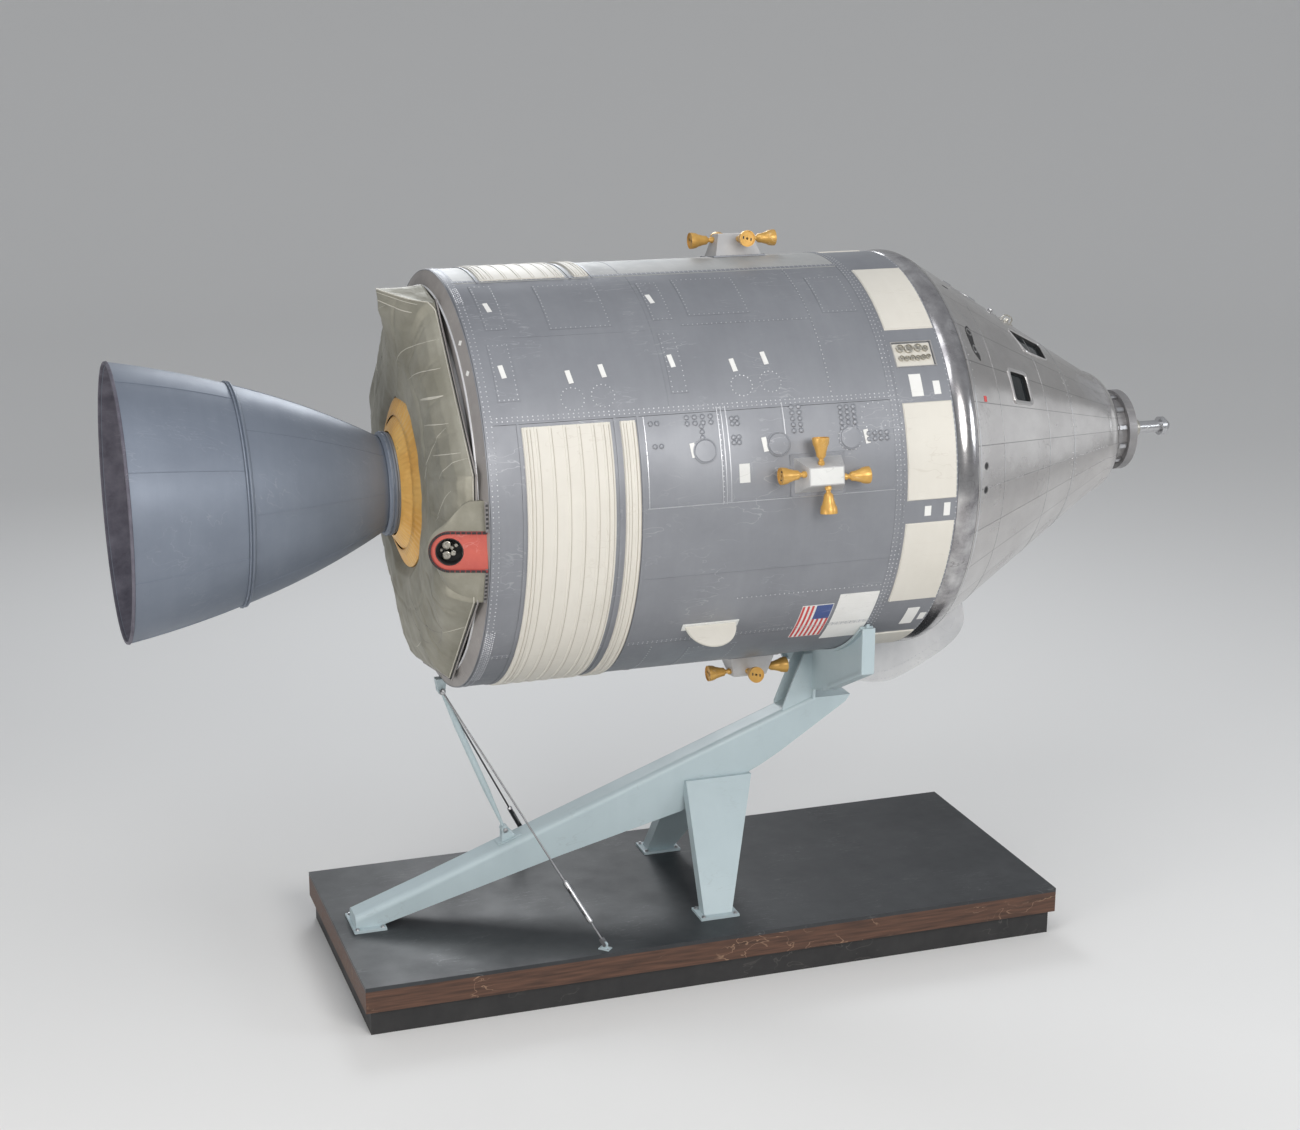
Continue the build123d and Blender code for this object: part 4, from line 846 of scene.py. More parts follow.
# Space radiators: a cream slab with raised ribs. Each band is (x0, x1, places of its ribs as shares of its
# width)
radiator = dict(
    bands=((3.29, 4.095, (.035, .075, .15, .31, .47, .63, .79, .9, .955)), (4.18, 4.32, (.12, .3, .7, .9))),
    starts=(63.8, 243.8), sweep=130, base=.012, rib=.005, ribHalf=.008, ribFoot=1.5, edge=.006,
    edgeDrop=.002, inset=1, points=120, wave=.0005, weld=.0045, weldLift=.0012, weldInset=1.6,
    borders=(3.262, 4.137, 4.348), borderHalf=.012, borderLift=.006, borderPoints=110)
base, sweep = radiator["base"], radiator["sweep"]
ribHalf, foot = radiator["ribHalf"], radiator["ribHalf"] * radiator["ribFoot"]
parts, welds = [], []
for x0, x1, shares in radiator["bands"]:
    xs, rise = [x0, x0 + radiator["edge"]], [.0, base - radiator["edgeDrop"]]
    for centre in (x0 + share * (x1 - x0) for share in shares):
        xs += [centre - foot, centre - ribHalf, centre + ribHalf, centre + foot]
        rise += [base, base + radiator["rib"], base + radiator["rib"], base]
        for start in radiator["starts"]:  # dark weld line along the fore foot of each rib
            welds.append(evenSlab(centre + foot, centre + foot + radiator["weld"],
                start + radiator["weldInset"], start + sweep - radiator["weldInset"],
                (2, radiator["borderPoints"]), hullRadius, hullRadius + base + radiator["weldLift"]))
    xs += [x1 - radiator["edge"], x1]
    rise += [base - radiator["edgeDrop"], .0]
    order = np.argsort(xs)
    xs, rise = np.array(xs)[order], np.array(rise)[order]
    for start in radiator["starts"]:
        angle = np.linspace(start + radiator["inset"], start + sweep - radiator["inset"],
            radiator["points"])
        x, a = np.meshgrid(xs, angle, indexing="ij")
        uneven = radiator["wave"] * smoothNoise(x, a / hullDegrees, 6.0, 5)
        parts.append(slab(x, a, np.full(x.shape, hullRadius - .002),
            hullRadius + np.repeat(rise[:, None], len(angle), 1) + uneven))
spaceRadiators = addMesh("spaceRadiators", *joined(parts), "radiatorCream", sharpDeg=24)
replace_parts(spaceRadiators, "space_radiators")
addMesh("radiatorWelds", *joined(welds), "radiatorLine")
addMesh("radiatorBorders", *joined([evenSlab(x0 - radiator["borderHalf"], x0 + radiator["borderHalf"],
    start, start + sweep, (3, radiator["borderPoints"]), hullRadius - .003,
    hullRadius + radiator["borderLift"]) for start in radiator["starts"] for x0 in radiator["borders"]]),
    "hullGrey")

# Fairing radiators: cream tiles with a lipped edge, whose profile is the height rise at the places along x
fairing = dict(
    centres=(29.8, 78.3, 111.4, 156.4, 209.8, 258.3, 291.4, 336.4), width=26.6, x0=6.892, radius=1.944,
    sink=.002, along=(0, .008, .02, .026, .25, .468, .474, .486, .494),
    rise=(0, .013, .013, .0115, .012, .0115, .013, .013, 0), lip=.25, field=.8, rivetRows=(6.862, 7.39),
    rivetTurn=1.6, labelLow=1.941, labelHigh=1.9454)
half, lip, field = fairing["width"] / 2, fairing["lip"], fairing["field"]
across = np.concatenate([[-half, -half + lip], np.linspace(-half + field, half - field, 22),
    [half - lip, half]])
parts = []
for centre in fairing["centres"]:
    x, a = np.meshgrid(np.array(fairing["along"]) + fairing["x0"], across + centre, indexing="ij")
    lift = np.repeat(np.array(fairing["rise"])[:, None], len(across), 1)
    lift[:, [0, -1]] = 0
    parts.append(slab(x, a, np.full(x.shape, fairing["radius"] - fairing["sink"]),
        fairing["radius"] + lift))
fairingRadiators = addMesh("fairingRadiators", *joined(parts), "radiatorCream", sharpDeg=24)
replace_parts(fairingRadiators, "fairing_radiators")

# Fairing details: rivets round both edges, bare white labels (x, angle, length along x, degrees round), and
# the connector tray with its plugs (place along, place round, radius)
fairingRivets = [hullFrame(x, a, 1.9445) for x in fairing["rivetRows"]
    for a in np.arange(0, 360, fairing["rivetTurn"])]
addMesh("fairingRivets", *stamp(dome(.007, .003, 6), fairingRivets), "rivet", tidy=False)
labelSpots = [(7.063, 60.2, .118, 6.3), (7.265, 61.2, .068, 3.8), (7.107, 94.8, .065, 2.8),
    (7.3, 94.7, .064, 3.7), (7.212, 133.3, .126, 8.8), (7.345, 133.9, .066, 3.7)]
addMesh("fairingLabels", *joined([hullPatch(x - l / 2, x + l / 2, a + far - w / 2, a + far + w / 2,
    fairing["labelHigh"] - hullRadius, hullRadius - fairing["labelLow"]) for x, a, l, w in labelSpots
    for far in (0, 180)]), "labelWhite")
tray = dict(
    x=7.11, angle=51, radius=1.924, length=.388, width=.248, lip=.016, lipLow=.012, lipHigh=.0225,
    lipEase=.003, floorLength=.372, floorWidth=.232, floorHeight=.004,
    plugs=((-.12, .06, .038), (-.035, .055, .041), (.06, .06, .038), (.13, .05, .028), (-.13, -.04, .025),
    (-.075, -.045, .024), (-.02, -.04, .025), (.035, -.045, .024), (.09, -.04, .025), (.14, -.035, .022)),
    plug=((1, 0), (1, .03), (.86, .034), (.82, .018), (.3, .018), (.22, .026)))
trayFrame = hullFrame(tray["x"], tray["angle"], tray["radius"])
plugParts = [stamp(turned([(r * share, h) for share, h in tray["plug"]], 20), [shifted(trayFrame, du, dv)])
    for du, dv, r in tray["plugs"]]
halfU, halfV = tray["length"] / 2, tray["width"] / 2
trayRim = rimRing([(-halfU, -halfV), (halfU, -halfV), (halfU, halfV), (-halfU, halfV)], tray["lip"],
    tray["lipLow"], tray["lipHigh"], tray["lipEase"])
trayFloor = block(tray["floorLength"], tray["floorWidth"], tray["floorHeight"], 0, .002)
addMesh("recessFloor", *stamp(trayFloor, [trayFrame]), "radiatorCream")
addMesh("recessLip", *stamp(trayRim, [trayFrame]), "frameBright")
connectorPlugs = addMesh("connectorPlugs", *joined(plugParts), "connectorMetal")
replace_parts(connectorPlugs, "umbilical_connectors")
print("stage: radiators and fairing built")

# Thruster quads: a lid and a base plate on each housing, and four capped horns round it. The horn's profile
# is (radius, height); each horn is (turn, place along, place round, place outwards along itself)
quad = dict(
    x=6.0, angles=(-7.8, 82.2, 172.2, 262.2), height=.21, hornDrop=.052,
    horns=((90, 0, .024, .176), (-90, 0, -.024, .176), (0, -.03, 0, .092), (180, .03, 0, .092)),
    horn=((.024, .0), (.03, .012), (.03, .034), (.021, .044), (.021, .06), (.042, .082), (.047, .12),
    (.056, .15), (.06, .168), (.072, .19), (.078, .228), (.078, .25), (.07, .25), (.07, .24), (.012, .238),
    (.012, .215)), hole=((.0118, .216), (.0118, .2165)), slot=(.012, .026, .0012, 0, .002),
    slots=((.038, .01), (-.038, -.01)), slotHeight=.24, lid=(.318, .146, .004, .0015, .004),
    base=(.53, .385, .005, .002, .01), baseLift=.001, bolt=(.006, .003, 6), boltLift=.006, boltReach=.25,
    boltSide=.179, boltColumns=9)
# Black marks for the two slots in each horn's cap: painted shade standing in for the openings
slotVerts, slotFaces = block(*quad["slot"])
slotShadeMarks = joined([(slotVerts + [dx, dy, quad["slotHeight"]], slotFaces) for dx, dy in quad["slots"]])
hornFrames, lidParts, baseParts = [], [], []
for angle in quad["angles"]:
    foot = hullFrame(quad["x"], angle)
    for turn, dx, dy, start in quad["horns"]:
        origin, u, v, n = shifted(foot, dx, dy, quad["height"] - quad["hornDrop"])
        side, out = swing(u, v, turn)
        hornFrames.append((origin + out * start, side, n, out))
    lidParts.append(stamp(block(*quad["lid"]), [shifted(foot, dn=quad["height"])]))
    baseParts.append(stamp(block(*quad["base"]), [shifted(foot, dn=quad["baseLift"])]))
    baseParts.append(stamp(dome(*quad["bolt"]), [shifted(foot, du, dv, quad["boltLift"])
        for du in np.linspace(-quad["boltReach"], quad["boltReach"], quad["boltColumns"])
        for dv in (-quad["boltSide"], quad["boltSide"])]))
quadHorns = addMesh("quadHorns", *stamp(turned(quad["horn"], 32), hornFrames), "hornGold", sharpDeg=38)
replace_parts(quadHorns, "quad_horns")
addMesh("quadLids", *joined(lidParts), "quadWhite")
addMesh("quadBases", *joined(baseParts), "hullGrey")
# Black slot marks and hole discs on each horn's cap: painted shade standing in for its openings
addMesh("hornSlotShade", *stamp(slotShadeMarks, hornFrames), "blackTrim")
addMesh("hornHoleShade", *stamp(turned(quad["hole"], 12), hornFrames), "blackTrim")

# Half-round antennas: foot flange and bolts
antenna = dict(x=5.125, angles=(127, 307), flange=(.55, .09, .006, .003, .004), bolt=(.008, .006, 6),
    boltReach=.24, boltSide=.03, boltColumns=6)
parts = []
for angle in antenna["angles"]:
    foot = hullFrame(antenna["x"], angle)
    parts.append(stamp(block(*antenna["flange"]), [foot]))
    parts.append(stamp(dome(*antenna["bolt"]), [shifted(foot, du, dv, antenna["flange"][2])
        for du in np.linspace(-antenna["boltReach"], antenna["boltReach"], antenna["boltColumns"])
        for dv in (-antenna["boltSide"], antenna["boltSide"])]))
addMesh("antennaFeet", *joined(parts), "quadWhite")
print("stage: thrusters and antennas built")

# Aft blanket: a quilted closure between the engine opening and an eight-sided rim. Its surface follows the
# profile below over the share s of the way out, and rises to a horn at the top; a roof joins its edge to
# the rim
quilt = dict(
    corners=(16, 76, 111, 155, 190, 256, 290, 333), rims=(1.83, 1.87, 1.915, 1.87, 1.9, 1.87, 1.88, 1.86),
    opening=.8, countR=72, countA=720, profileS=(0, .09, .39, .72, .89, .965, 1.0),
    profileX=(2.655, 2.6, 2.606, 2.66, 2.73, 2.795, 2.856), rimX=2.868, hornR=1.815, hornRim=1.832,
    hornMiddle=-1.0, hornSides=(18.0, 26.0), hornEase=1.5, hornProfileR=(1.00, 1.2, 1.37, 1.62, 1.8, 1.82),
    hornProfileX=(2.6, 2.572, 2.525, 2.458, 2.444, 2.452), podBulge=.2, podAngle=110, podSides=(20, 9),
    creases=26, crease=.01, creaseHalf=.016, creaseStart=1.15, ring=1.17, ringSway=.03, ringHeight=.008,
    ringHalf=.02, wrinkle=.01, fineWrinkle=.005, roofSag=.01, roofSteps=9, backX=2.874, backStep=.004,
    backR=.85)


# Radius of the straight side at an angle: the line between the two corners on either side of it
def rimRadius(angle):
    corners, rims = np.array(quilt["corners"], float), np.array(quilt["rims"])
    turned360 = np.mod(np.asarray(angle) - corners[0], 360) + corners[0]
    index = np.searchsorted(corners, turned360, side="right") - 1
    low, lowR = corners[index], rims[index]
    high, highR = np.append(corners, corners[0] + 360)[index + 1], np.append(rims, rims[0])[index + 1]
    fromLow, toHigh = np.radians(turned360 - low), np.radians(high - turned360)
    return lowR * highR * np.sin(fromLow + toHigh) / (lowR * np.sin(fromLow) + highR * np.sin(toHigh))


# Signed turn from one angle to another, between -180 and 180 degrees
def turnFrom(angle, middle):
    return (np.asarray(angle, float) - middle + 180) % 360 - 180


# 1 on the horn's ridge, falling in a straight line to 0 at the corner on each side, with the ridge eased
def hornShare(angle):
    off = turnFrom(angle, quilt["hornMiddle"])
    near, far = quilt["hornSides"]
    eased = np.sqrt(off ** 2 + quilt["hornEase"] ** 2) - quilt["hornEase"]
    return np.clip(1 - eased / np.where(off > 0, near, far), 0, 1)


# Radius of the blanket's outer edge: the straight side's, or the horn's by its share
def tipRadius(angle):
    share = hornShare(angle)
    return rimRadius(angle) * (1 - share) + quilt["hornR"] * share


# Bump of height 1 that fades out over the half width
def ridge(off, half):
    return np.exp(-(off / half) ** 2)


# The surface's x: its profile, the horn, a hollow behind the pod, radial creases, a ring and two sizes of
# wrinkle
def blanketX(r, angle):
    values = quilt
    s = (r - values["opening"]) / (tipRadius(angle) - values["opening"])
    x = np.interp(s, values["profileS"], values["profileX"])
    x = x + hornShare(angle) * (np.interp(r, values["hornProfileR"], values["hornProfileX"]) - x)
    offPod = turnFrom(angle, values["podAngle"])
    podHalf = np.where(offPod > 0, *values["podSides"])
    x = x - values["podBulge"] * ridge(offPod, podHalf) * s ** 2 * (1 - s ** 8)
    edgeFade = np.clip(np.minimum(s, 1 - s) * 9, 0, 1)
    turnStep = 360 / values["creases"]
    offCrease = np.abs((angle + turnStep * 5) % turnStep - turnStep / 2) * np.radians(1) * r
    innerFade = np.clip((r - values["creaseStart"]) / .2, 0, 1)
    x = x + values["crease"] * ridge(offCrease, values["creaseHalf"]) * edgeFade * innerFade
    offRing = np.abs(r - values["ring"] - values["ringSway"] * np.sin(np.radians(angle * 3)))
    x = x + values["ringHeight"] * ridge(offRing, values["ringHalf"]) * edgeFade
    planeY, planeZ = r * np.sin(np.radians(angle)), r * np.cos(np.radians(angle))
    x = x - values["wrinkle"] * smoothNoise(planeY, planeZ, 9.0, 3) * edgeFade
    return x - values["fineWrinkle"] * smoothNoise(planeY, planeZ, 26.0, 8) * edgeFade


angle = np.linspace(0, 360, quilt["countA"], endpoint=False)
s, a = np.meshgrid(np.linspace(0, 1, quilt["countR"]), angle, indexing="ij")
r = quilt["opening"] + s * (tipRadius(a) - quilt["opening"])
front = wrap(blanketX(r, a), r, a)
share = hornShare(angle)
roofR = rimRadius(angle) * (1 - share) + quilt["hornRim"] * share
edgeX = blanketX(tipRadius(angle), angle)
t = np.linspace(0, 1, quilt["roofSteps"])[1:, None]
roofX = edgeX + (quilt["rimX"] - edgeX) * t
roofUneven = 1 + .6 * smoothNoise(roofX, angle / hullDegrees, 14.0, 6)
roof = wrap(roofX, tipRadius(angle) + (roofR - tipRadius(angle)) * t - quilt["roofSag"]
    * np.sin(math.pi * t) * roofUneven, angle[None, :])
backR = np.stack([roofR - quilt["backStep"], np.full(len(angle), quilt["backR"])])
back = wrap(np.full(backR.shape, quilt["backX"]), backR, angle[None, :])
rows = len(front) + len(roof) + len(back)
blanket = addMesh("aftBlanket", np.concatenate([p.reshape(-1, 3) for p in (front, roof, back)]),
    gridFaces(rows, quilt["countA"], True, True), "foilOlive", sharpDeg=50)
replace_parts(blanket, "aft_blanket")

# Piping along the blanket's outer edge and across the horn; light stitches, and dark lines along the
# creases that are painted shade in the folds, run over it through the listed (radius, angle) points, each
# with its thickness
edge = np.linspace(0, 360, 361)
piping = [tube(wrap(blanketX(tipRadius(edge) - .004, edge) - .002, tipRadius(edge) - .002, edge), .006, 6)]
stitches = [
    (.0045, (1.66, 28), (1.5, 22), (1.33, 13.5), (1.14, 4)), (.0045, (1.58, 38), (1.42, 33.5), (1.14, 23)),
    (.014, (1.54, 48), (1.4, 45.5), (1.24, 41)), (.0045, (1.58, 58.5), (1.42, 56.5), (1.2, 52.5)),
    (.0045, (1.72, 69), (1.55, 68.4), (1.32, 67)),
    (.003, (1.68, 3), (1.54, -5), (1.38, -8.6), (1.2, -12.7)),
    (.003, (1.58, 59.5), (1.36, 63.4), (1.16, 70.2), (1.06, 76.3)),
    (.003, (1.78, 71), (1.6, 72.6), (1.42, 76.5)), (.003, (1.64, 80), (1.5, 84), (1.34, 92)),
    (.004, (1.573, 174), (1.497, 160)), (.004, (1.64, 133), (1.78, 124)),
    (.0045, (1.58, 208), (1.42, 213), (1.18, 222)), (.0045, (1.56, 232), (1.4, 236), (1.18, 243)),
    (.0045, (1.66, 262), (1.48, 266), (1.28, 272)), (.0045, (1.6, 304), (1.44, 308), (1.2, 315))]
creases = [
    (.0028, (.96, 164), (1.237, 154), (1.48, 142.5), (1.62, 134)),
    (.0028, (1.06, 166), (1.29, 163), (1.45, 157), (1.58, 147)),
    (.0028, (1.36, 112), (1.54, 123), (1.62, 133), (1.6, 147)), (.0025, (1.1, 58), (1.12, 80), (1.14, 104)),
    (.0028, (1.4, 200), (1.48, 214), (1.42, 232)), (.0028, (1.2, 250), (1.42, 262), (1.5, 280)),
    (.0028, (1.12, 300), (1.26, 318), (1.3, 338))]


# Tubes along a polynomial through each row's points, tapered at both ends and lifted off the surface by a
# share of their thickness
def surfaceLines(rows, lift):
    lines = []
    for thick, *spots in rows:
        spots = np.array(spots, float)
        path, t = np.linspace(0, 1, len(spots)), np.linspace(0, 1, 28)
        lineR, lineA = (np.polyval(np.polyfit(path, spots[:, k], len(spots) - 1), t) for k in (0, 1))
        taper = thick * np.sqrt(np.clip(t * (1 - t) * 4, .08, 1))
        lines.append(tube(wrap(blanketX(lineR, lineA) + lift * taper, lineR, lineA), taper, 6))
    return lines


hornTurn = np.linspace(-22, 14, 40)
for inward, thick in ((.03, .0035), (.105, .005)):
    bandR = tipRadius(hornTurn) - inward
    piping.append(tube(wrap(blanketX(bandR, hornTurn) - .001, bandR, hornTurn), thick, 6))
addMesh("blanketSeams", *joined(piping + surfaceLines(stitches, .4)), "foilEdge")
# The dark crease lines: painted shade in the blanket's folds
addMesh("blanketCreaseShade", *joined(surfaceLines(creases, .5)), "closureBrown")

# Recess between the straight sides and the round lip, its floor in the lightened closure brown as painted
# light against its shade; edging bars along the sides, one in that lightened brown and one a black tube in
# the gap as painted shade; the lip in pale silver as a painted highlight on its rounded edge; and white
# marks on the closure ring. A bar is (name, finish, lift off the rim, x, thickness)
closure = dict(
    recess=((2.912, 1.602), (2.912, 1.808), (2.916, 1.808), (2.916, 1.602)),
    bars=(("blanketRimBar", "closureInner", .024, 2.868, .008),
    # A black tube laid along the gap below the rim bar: painted shade
    ("blanketRimGapShade", "blackTrim", .01, 2.862, .0075)), lipX=2.8935, lipR=1.81, lip=.011,
    marks=(37.7, 47.8, 217.7, 227.8), markX=2.923, markR=1.8805, slope=(.922, .387),
    mark=(.042, .042, .0012, 0, .004))
lathe("closureRecess", closure["recess"], "closureInner", segments=200)
rimCorners = list(zip(quilt["corners"], quilt["rims"]))
for name, finish, lift, x, thick in closure["bars"]:
    parts = []
    for (first, firstR), (second, secondR) in zip(rimCorners, rimCorners[1:]):
        start, stop = wrap(x, firstR + lift, first), wrap(x, secondR + lift, second)
        parts.append(tube([start, (start + stop) / 2, stop], thick, 6))
    addMesh(name, *joined(parts), finish)
lipOutline = [(closure["lipX"] + closure["lip"] * math.cos(t),
    closure["lipR"] + closure["lip"] * math.sin(t)) for t in fullTurn(10)]
# The lip takes the pale silver of the umbilical housing: a painted highlight along its rounded edge
lathe("closureLipHighlight", lipOutline, "housingSilver", segments=220)
markFrames = []
steep, flat = closure["slope"]
for angle in closure["marks"]:
    out = radialDir(angle)
    n = np.array([-steep, 0, 0]) + out * flat
    along = np.array([flat, 0, 0]) + out * steep
    across = np.cross(n, along)
    markFrames.append((wrap(closure["markX"], closure["markR"], angle), (along + across) / math.sqrt(2),
        (across - along) / math.sqrt(2), n))
addMesh("closureMarks", *stamp(block(*closure["mark"]), markFrames), "labelWhite")

# Pod on the near side: half a turned shell behind a flat plane that faces outwards. On that plane u runs
# aft and inboard from the rim, v up and w outwards
pod = dict(
    root=(2.93, -1.905, -.205), turn=19.0, back=-.012, plateHalf=.165, plateCentre=.318, well=.122,
    outlineU=(-.012, .08, .15, .21, .27, .325, .37, .41, .445, .475, .5, .518, .525),
    outlineV=(.446, .446, .438, .4, .332, .27, .228, .2, .172, .14, .098, .05, .0),
    lowerU=(.518, .5, .465, .415, .35, .27, .18, .09, -.012),
    lowerV=(-.055, -.12, -.205, -.29, -.365, -.42, -.455, -.475, -.48), sink=.006, lowerFade=.14, sag=.03,
    hollow=.0448, uneven=.004, hull=1.937)
podTurn = math.radians(pod["turn"])
podU = np.array([-math.cos(podTurn), math.sin(podTurn), 0])
podW = np.array([-math.sin(podTurn), -math.cos(podTurn), 0])


# Point of the pod's plane: its root, u aft and inboard, v up and w outwards
def podPoint(u, v, w):
    u, v, w = (np.asarray(p, float)[..., None] for p in np.broadcast_arrays(u, v, w))
    return np.array(pod["root"]) + vehicleShift + u * podU + v * np.array([0, 0, 1.0]) + w * podW


# The red plate's outline in u and v, moved out by grow: two straight sides and a half circle
def plateOutline(grow, count=36):
    half, centre = pod["plateHalf"] + grow, pod["plateCentre"]
    run = np.linspace(pod["back"], centre, count // 2)
    turn = np.linspace(math.pi / 2, -math.pi / 2, count)[1:-1]
    u = np.concatenate([run, centre + half * np.cos(turn), run[::-1]])
    v = np.concatenate([np.full(len(run), half), half * np.sin(turn), np.full(len(run), -half)])
    return u, v


innerU, innerV = plateOutline(.002)
path = np.linspace(0, 1, len(innerU))
outlineU = np.array(pod["outlineU"] + pod["lowerU"])
outlineV = np.array(pod["outlineV"] + pod["lowerV"])
lengths = np.concatenate([[0], np.cumsum(np.hypot(np.diff(outlineU), np.diff(outlineV)))])
outerU, outerV = (np.interp(path * lengths[-1], lengths, outline) for outline in (outlineU, outlineV))
# Depth below the plane at which each outline point first meets the blanket's surface
tries = -np.linspace(.03, .5, 95)[:, None]
spots = podPoint(outerU, outerV, tries) - vehicleShift
spotR, spotA = np.hypot(spots[..., 1], spots[..., 2]), np.degrees(np.arctan2(-spots[..., 1], spots[..., 2]))
under = spots[..., 0] > blanketX(np.minimum(spotR, tipRadius(spotA)), spotA)
contact = tries[np.argmax(under, 0), 0] - pod["sink"]
# The face sags a little in its upper part, and falls to the blanket in its lower part
lowerShare = np.clip(-outerV / pod["lowerFade"], 0, 1)
s = np.linspace(0, 1, 16)[:, None]
faceU, faceV = innerU + (outerU - innerU) * s, innerV + (outerV - innerV) * s
reach = np.hypot(outerU - innerU, outerV - innerV)
upper = -pod["sag"] * s ** 2 - pod["hollow"] * reach * np.sin(math.pi * s)
puff = upper * (1 - lowerShare) + (contact * s ** 1.7 - .006 * np.sin(math.pi * s)) * lowerShare
puff = puff + pod["uneven"] * smoothNoise(faceU, faceV, 22.0, 4) * np.sin(math.pi * s)
# Nothing stands out past the hull's own round: the w at which a point of the plane is on that circle
rootY, rootZ = pod["root"][1:]
hullLimit = (rootY + podU[1] * faceU + np.sqrt(pod["hull"] ** 2 - (faceV + rootZ) ** 2)) / -podW[1]
puff = np.minimum(puff, hullLimit)
facePart = podPoint(faceU, faceV, puff)
turn = np.linspace(0, math.pi / 2, 18)[1:, None]
side = np.where(outerV < 0, -1, 1)
sweepDepth = np.abs(outerV) * np.sin(turn) - puff[-1]
shellPart = podPoint(outerU + 0 * turn, side * np.abs(outerV) * np.cos(turn), -sweepDepth)
inner = podPoint(innerU, innerV, -.03)[None]
podRows = np.concatenate([inner, facePart, shellPart])
podMesh = addMesh("podShell", podRows.reshape(-1, 3), gridFaces(len(podRows), len(path)), "foilOlive",
    sharpDeg=55, weld=True)
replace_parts(podMesh, "aft_blanket")

# Red plate with its round well: the front runs from the well's circle out to the plate's outline, by
# (share of the way out, height) rows; then its band, the cup of the well and the plugs in it, which are
# (place along, place up, radius, height)
recess = dict(
    rows=((0, -.012), (0, .001), (.06, .004), (.12, .001), (.9, .001), (1, 0), (1, -.012), (.5, -.012)),
    bandGrow=.006, band=.013, floor=-.105, cup=((.1215, -.0005), (.1215, .004), (.116, .005), (.114, .0),
    (.114, -.105), (.02, -.106), (.02, -.116), (.121, -.116)),
    plugs=((.03, .048, .037, .05), (.03, -.048, .037, .055), (-.03, .02, .024, .075),
    (-.055, -.05, .018, .07), (-.02, -.03, .016, .08), (.075, .004, .014, .03)),
    dash=(.034, .02, .0016, 0, .003), dashLift=.0152)
closedU, closedV = plateOutline(0)
edgeV = np.linspace(-pod["plateHalf"], pod["plateHalf"], 12)[1:-1]
closedU = np.concatenate([closedU, np.full(len(edgeV), pod["back"])])
closedV = np.concatenate([closedV, edgeV])
spin = np.arctan2(closedV, closedU - pod["plateCentre"])
wellU = pod["plateCentre"] + pod["well"] * np.cos(spin)
wellV = pod["well"] * np.sin(spin)
plateRows = [podPoint(wellU + (closedU - wellU) * t, wellV + (closedV - wellV) * t, w)
    for t, w in recess["rows"]]
recessPlate = addMesh("recessPlate", np.array(plateRows).reshape(-1, 3),
    gridFaces(len(plateRows), len(spin), True, True), "recessRed", sharpDeg=40)
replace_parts(recessPlate, "antenna_recess")
bandU, bandV = plateOutline(recess["bandGrow"], 60)
addMesh("recessBand", *tube(podPoint(bandU, bandV, .003), recess["band"], 8), "bandRed")
wellFrame = (podPoint(pod["plateCentre"], 0, 0), podU, np.cross(podW, podU), podW)
turn = fullTurn(48)
cupVerts = np.concatenate([np.stack([r * np.cos(turn), r * np.sin(turn), np.full(48, h)], -1)
    for r, h in recess["cup"]])
cupFaces = gridFaces(len(recess["cup"]), 48, True, True)
addMesh("recessWell", *stamp((cupVerts, cupFaces), [wellFrame]), "blackTrim", sharpDeg=40)
plugParts = []
for du, dv, r, h in recess["plugs"]:
    top = recess["floor"] + h
    plug = turned([(r, recess["floor"]), (r, top), (r * .84, top + .003), (r * .78, top - .003),
        (r * .34, top - .003), (r * .26, top + .007)], 20)
    plugParts.append(stamp(plug, [shifted(wellFrame, du, dv)]))
addMesh("recessPlugs", *joined(plugParts), "connectorMetal")

# Black dashes on the red band and on the two strips beside the plate, which are (start, stop)
tapes = dict(spans=((82.9, 90.6), (100.6, 110.6)), x0=2.918, x1=2.9455, low=1.94, high=1.9465, dashX0=2.921,
    dashX1=2.943, dashLow=1.9455, dashHigh=1.9473, pitch=1.15, dash=.62)
dashFrames = []
for k in range(2, len(bandU) - 2, 4):
    run = podPoint(bandU[k + 1], bandV[k + 1], 0) - podPoint(bandU[k - 1], bandV[k - 1], 0)
    run /= np.linalg.norm(run)
    place = podPoint(bandU[k], bandV[k], recess["dashLift"])
    dashFrames.append((place, run, np.cross(podW, run), podW))
dashParts = [stamp(block(*recess["dash"]), dashFrames)]
stripParts = []
for start, stop in tapes["spans"]:
    stripParts.append(evenSlab(tapes["x0"], tapes["x1"], start, stop, (4, 16), tapes["low"], tapes["high"]))
    for dash in np.arange(start + .5, stop - .6, tapes["pitch"]):
        dashParts.append(evenSlab(tapes["dashX0"], tapes["dashX1"], dash, dash + tapes["dash"], (2, 3),
            tapes["dashLow"], tapes["dashHigh"]))
addMesh("edgeStrips", *joined(stripParts), "closureBrown")
addMesh("bandDashes", *joined(dashParts), "blackTrim")
print("stage: aft blanket built")


# Engine: bell in two lengths with walls, rims, joint ring and neck flange

# Points on the circle through three (x, radius) points
def arcProfile(start, middle, stop, count):
    (ax, ay), (bx, by), (cx, cy) = start, middle, stop
    a2, b2, c2 = ax ** 2 + ay ** 2, bx ** 2 + by ** 2, cx ** 2 + cy ** 2
    d = 2 * (ax * (by - cy) + bx * (cy - ay) + cx * (ay - by))
    ux = (a2 * (by - cy) + b2 * (cy - ay) + c2 * (ay - by)) / d
    uy = (a2 * (cx - bx) + b2 * (ax - cx) + c2 * (bx - ax)) / d
    radius = math.hypot(ax - ux, ay - uy)
    first, last = math.atan2(ay - uy, ax - ux), math.atan2(cy - uy, cx - ux)
    if last - first > math.pi:
        last -= 2 * math.pi
    if first - last > math.pi:
        last += 2 * math.pi
    turn = np.linspace(first, last, count)
    return [(ux + radius * math.cos(t), uy + radius * math.sin(t)) for t in turn]


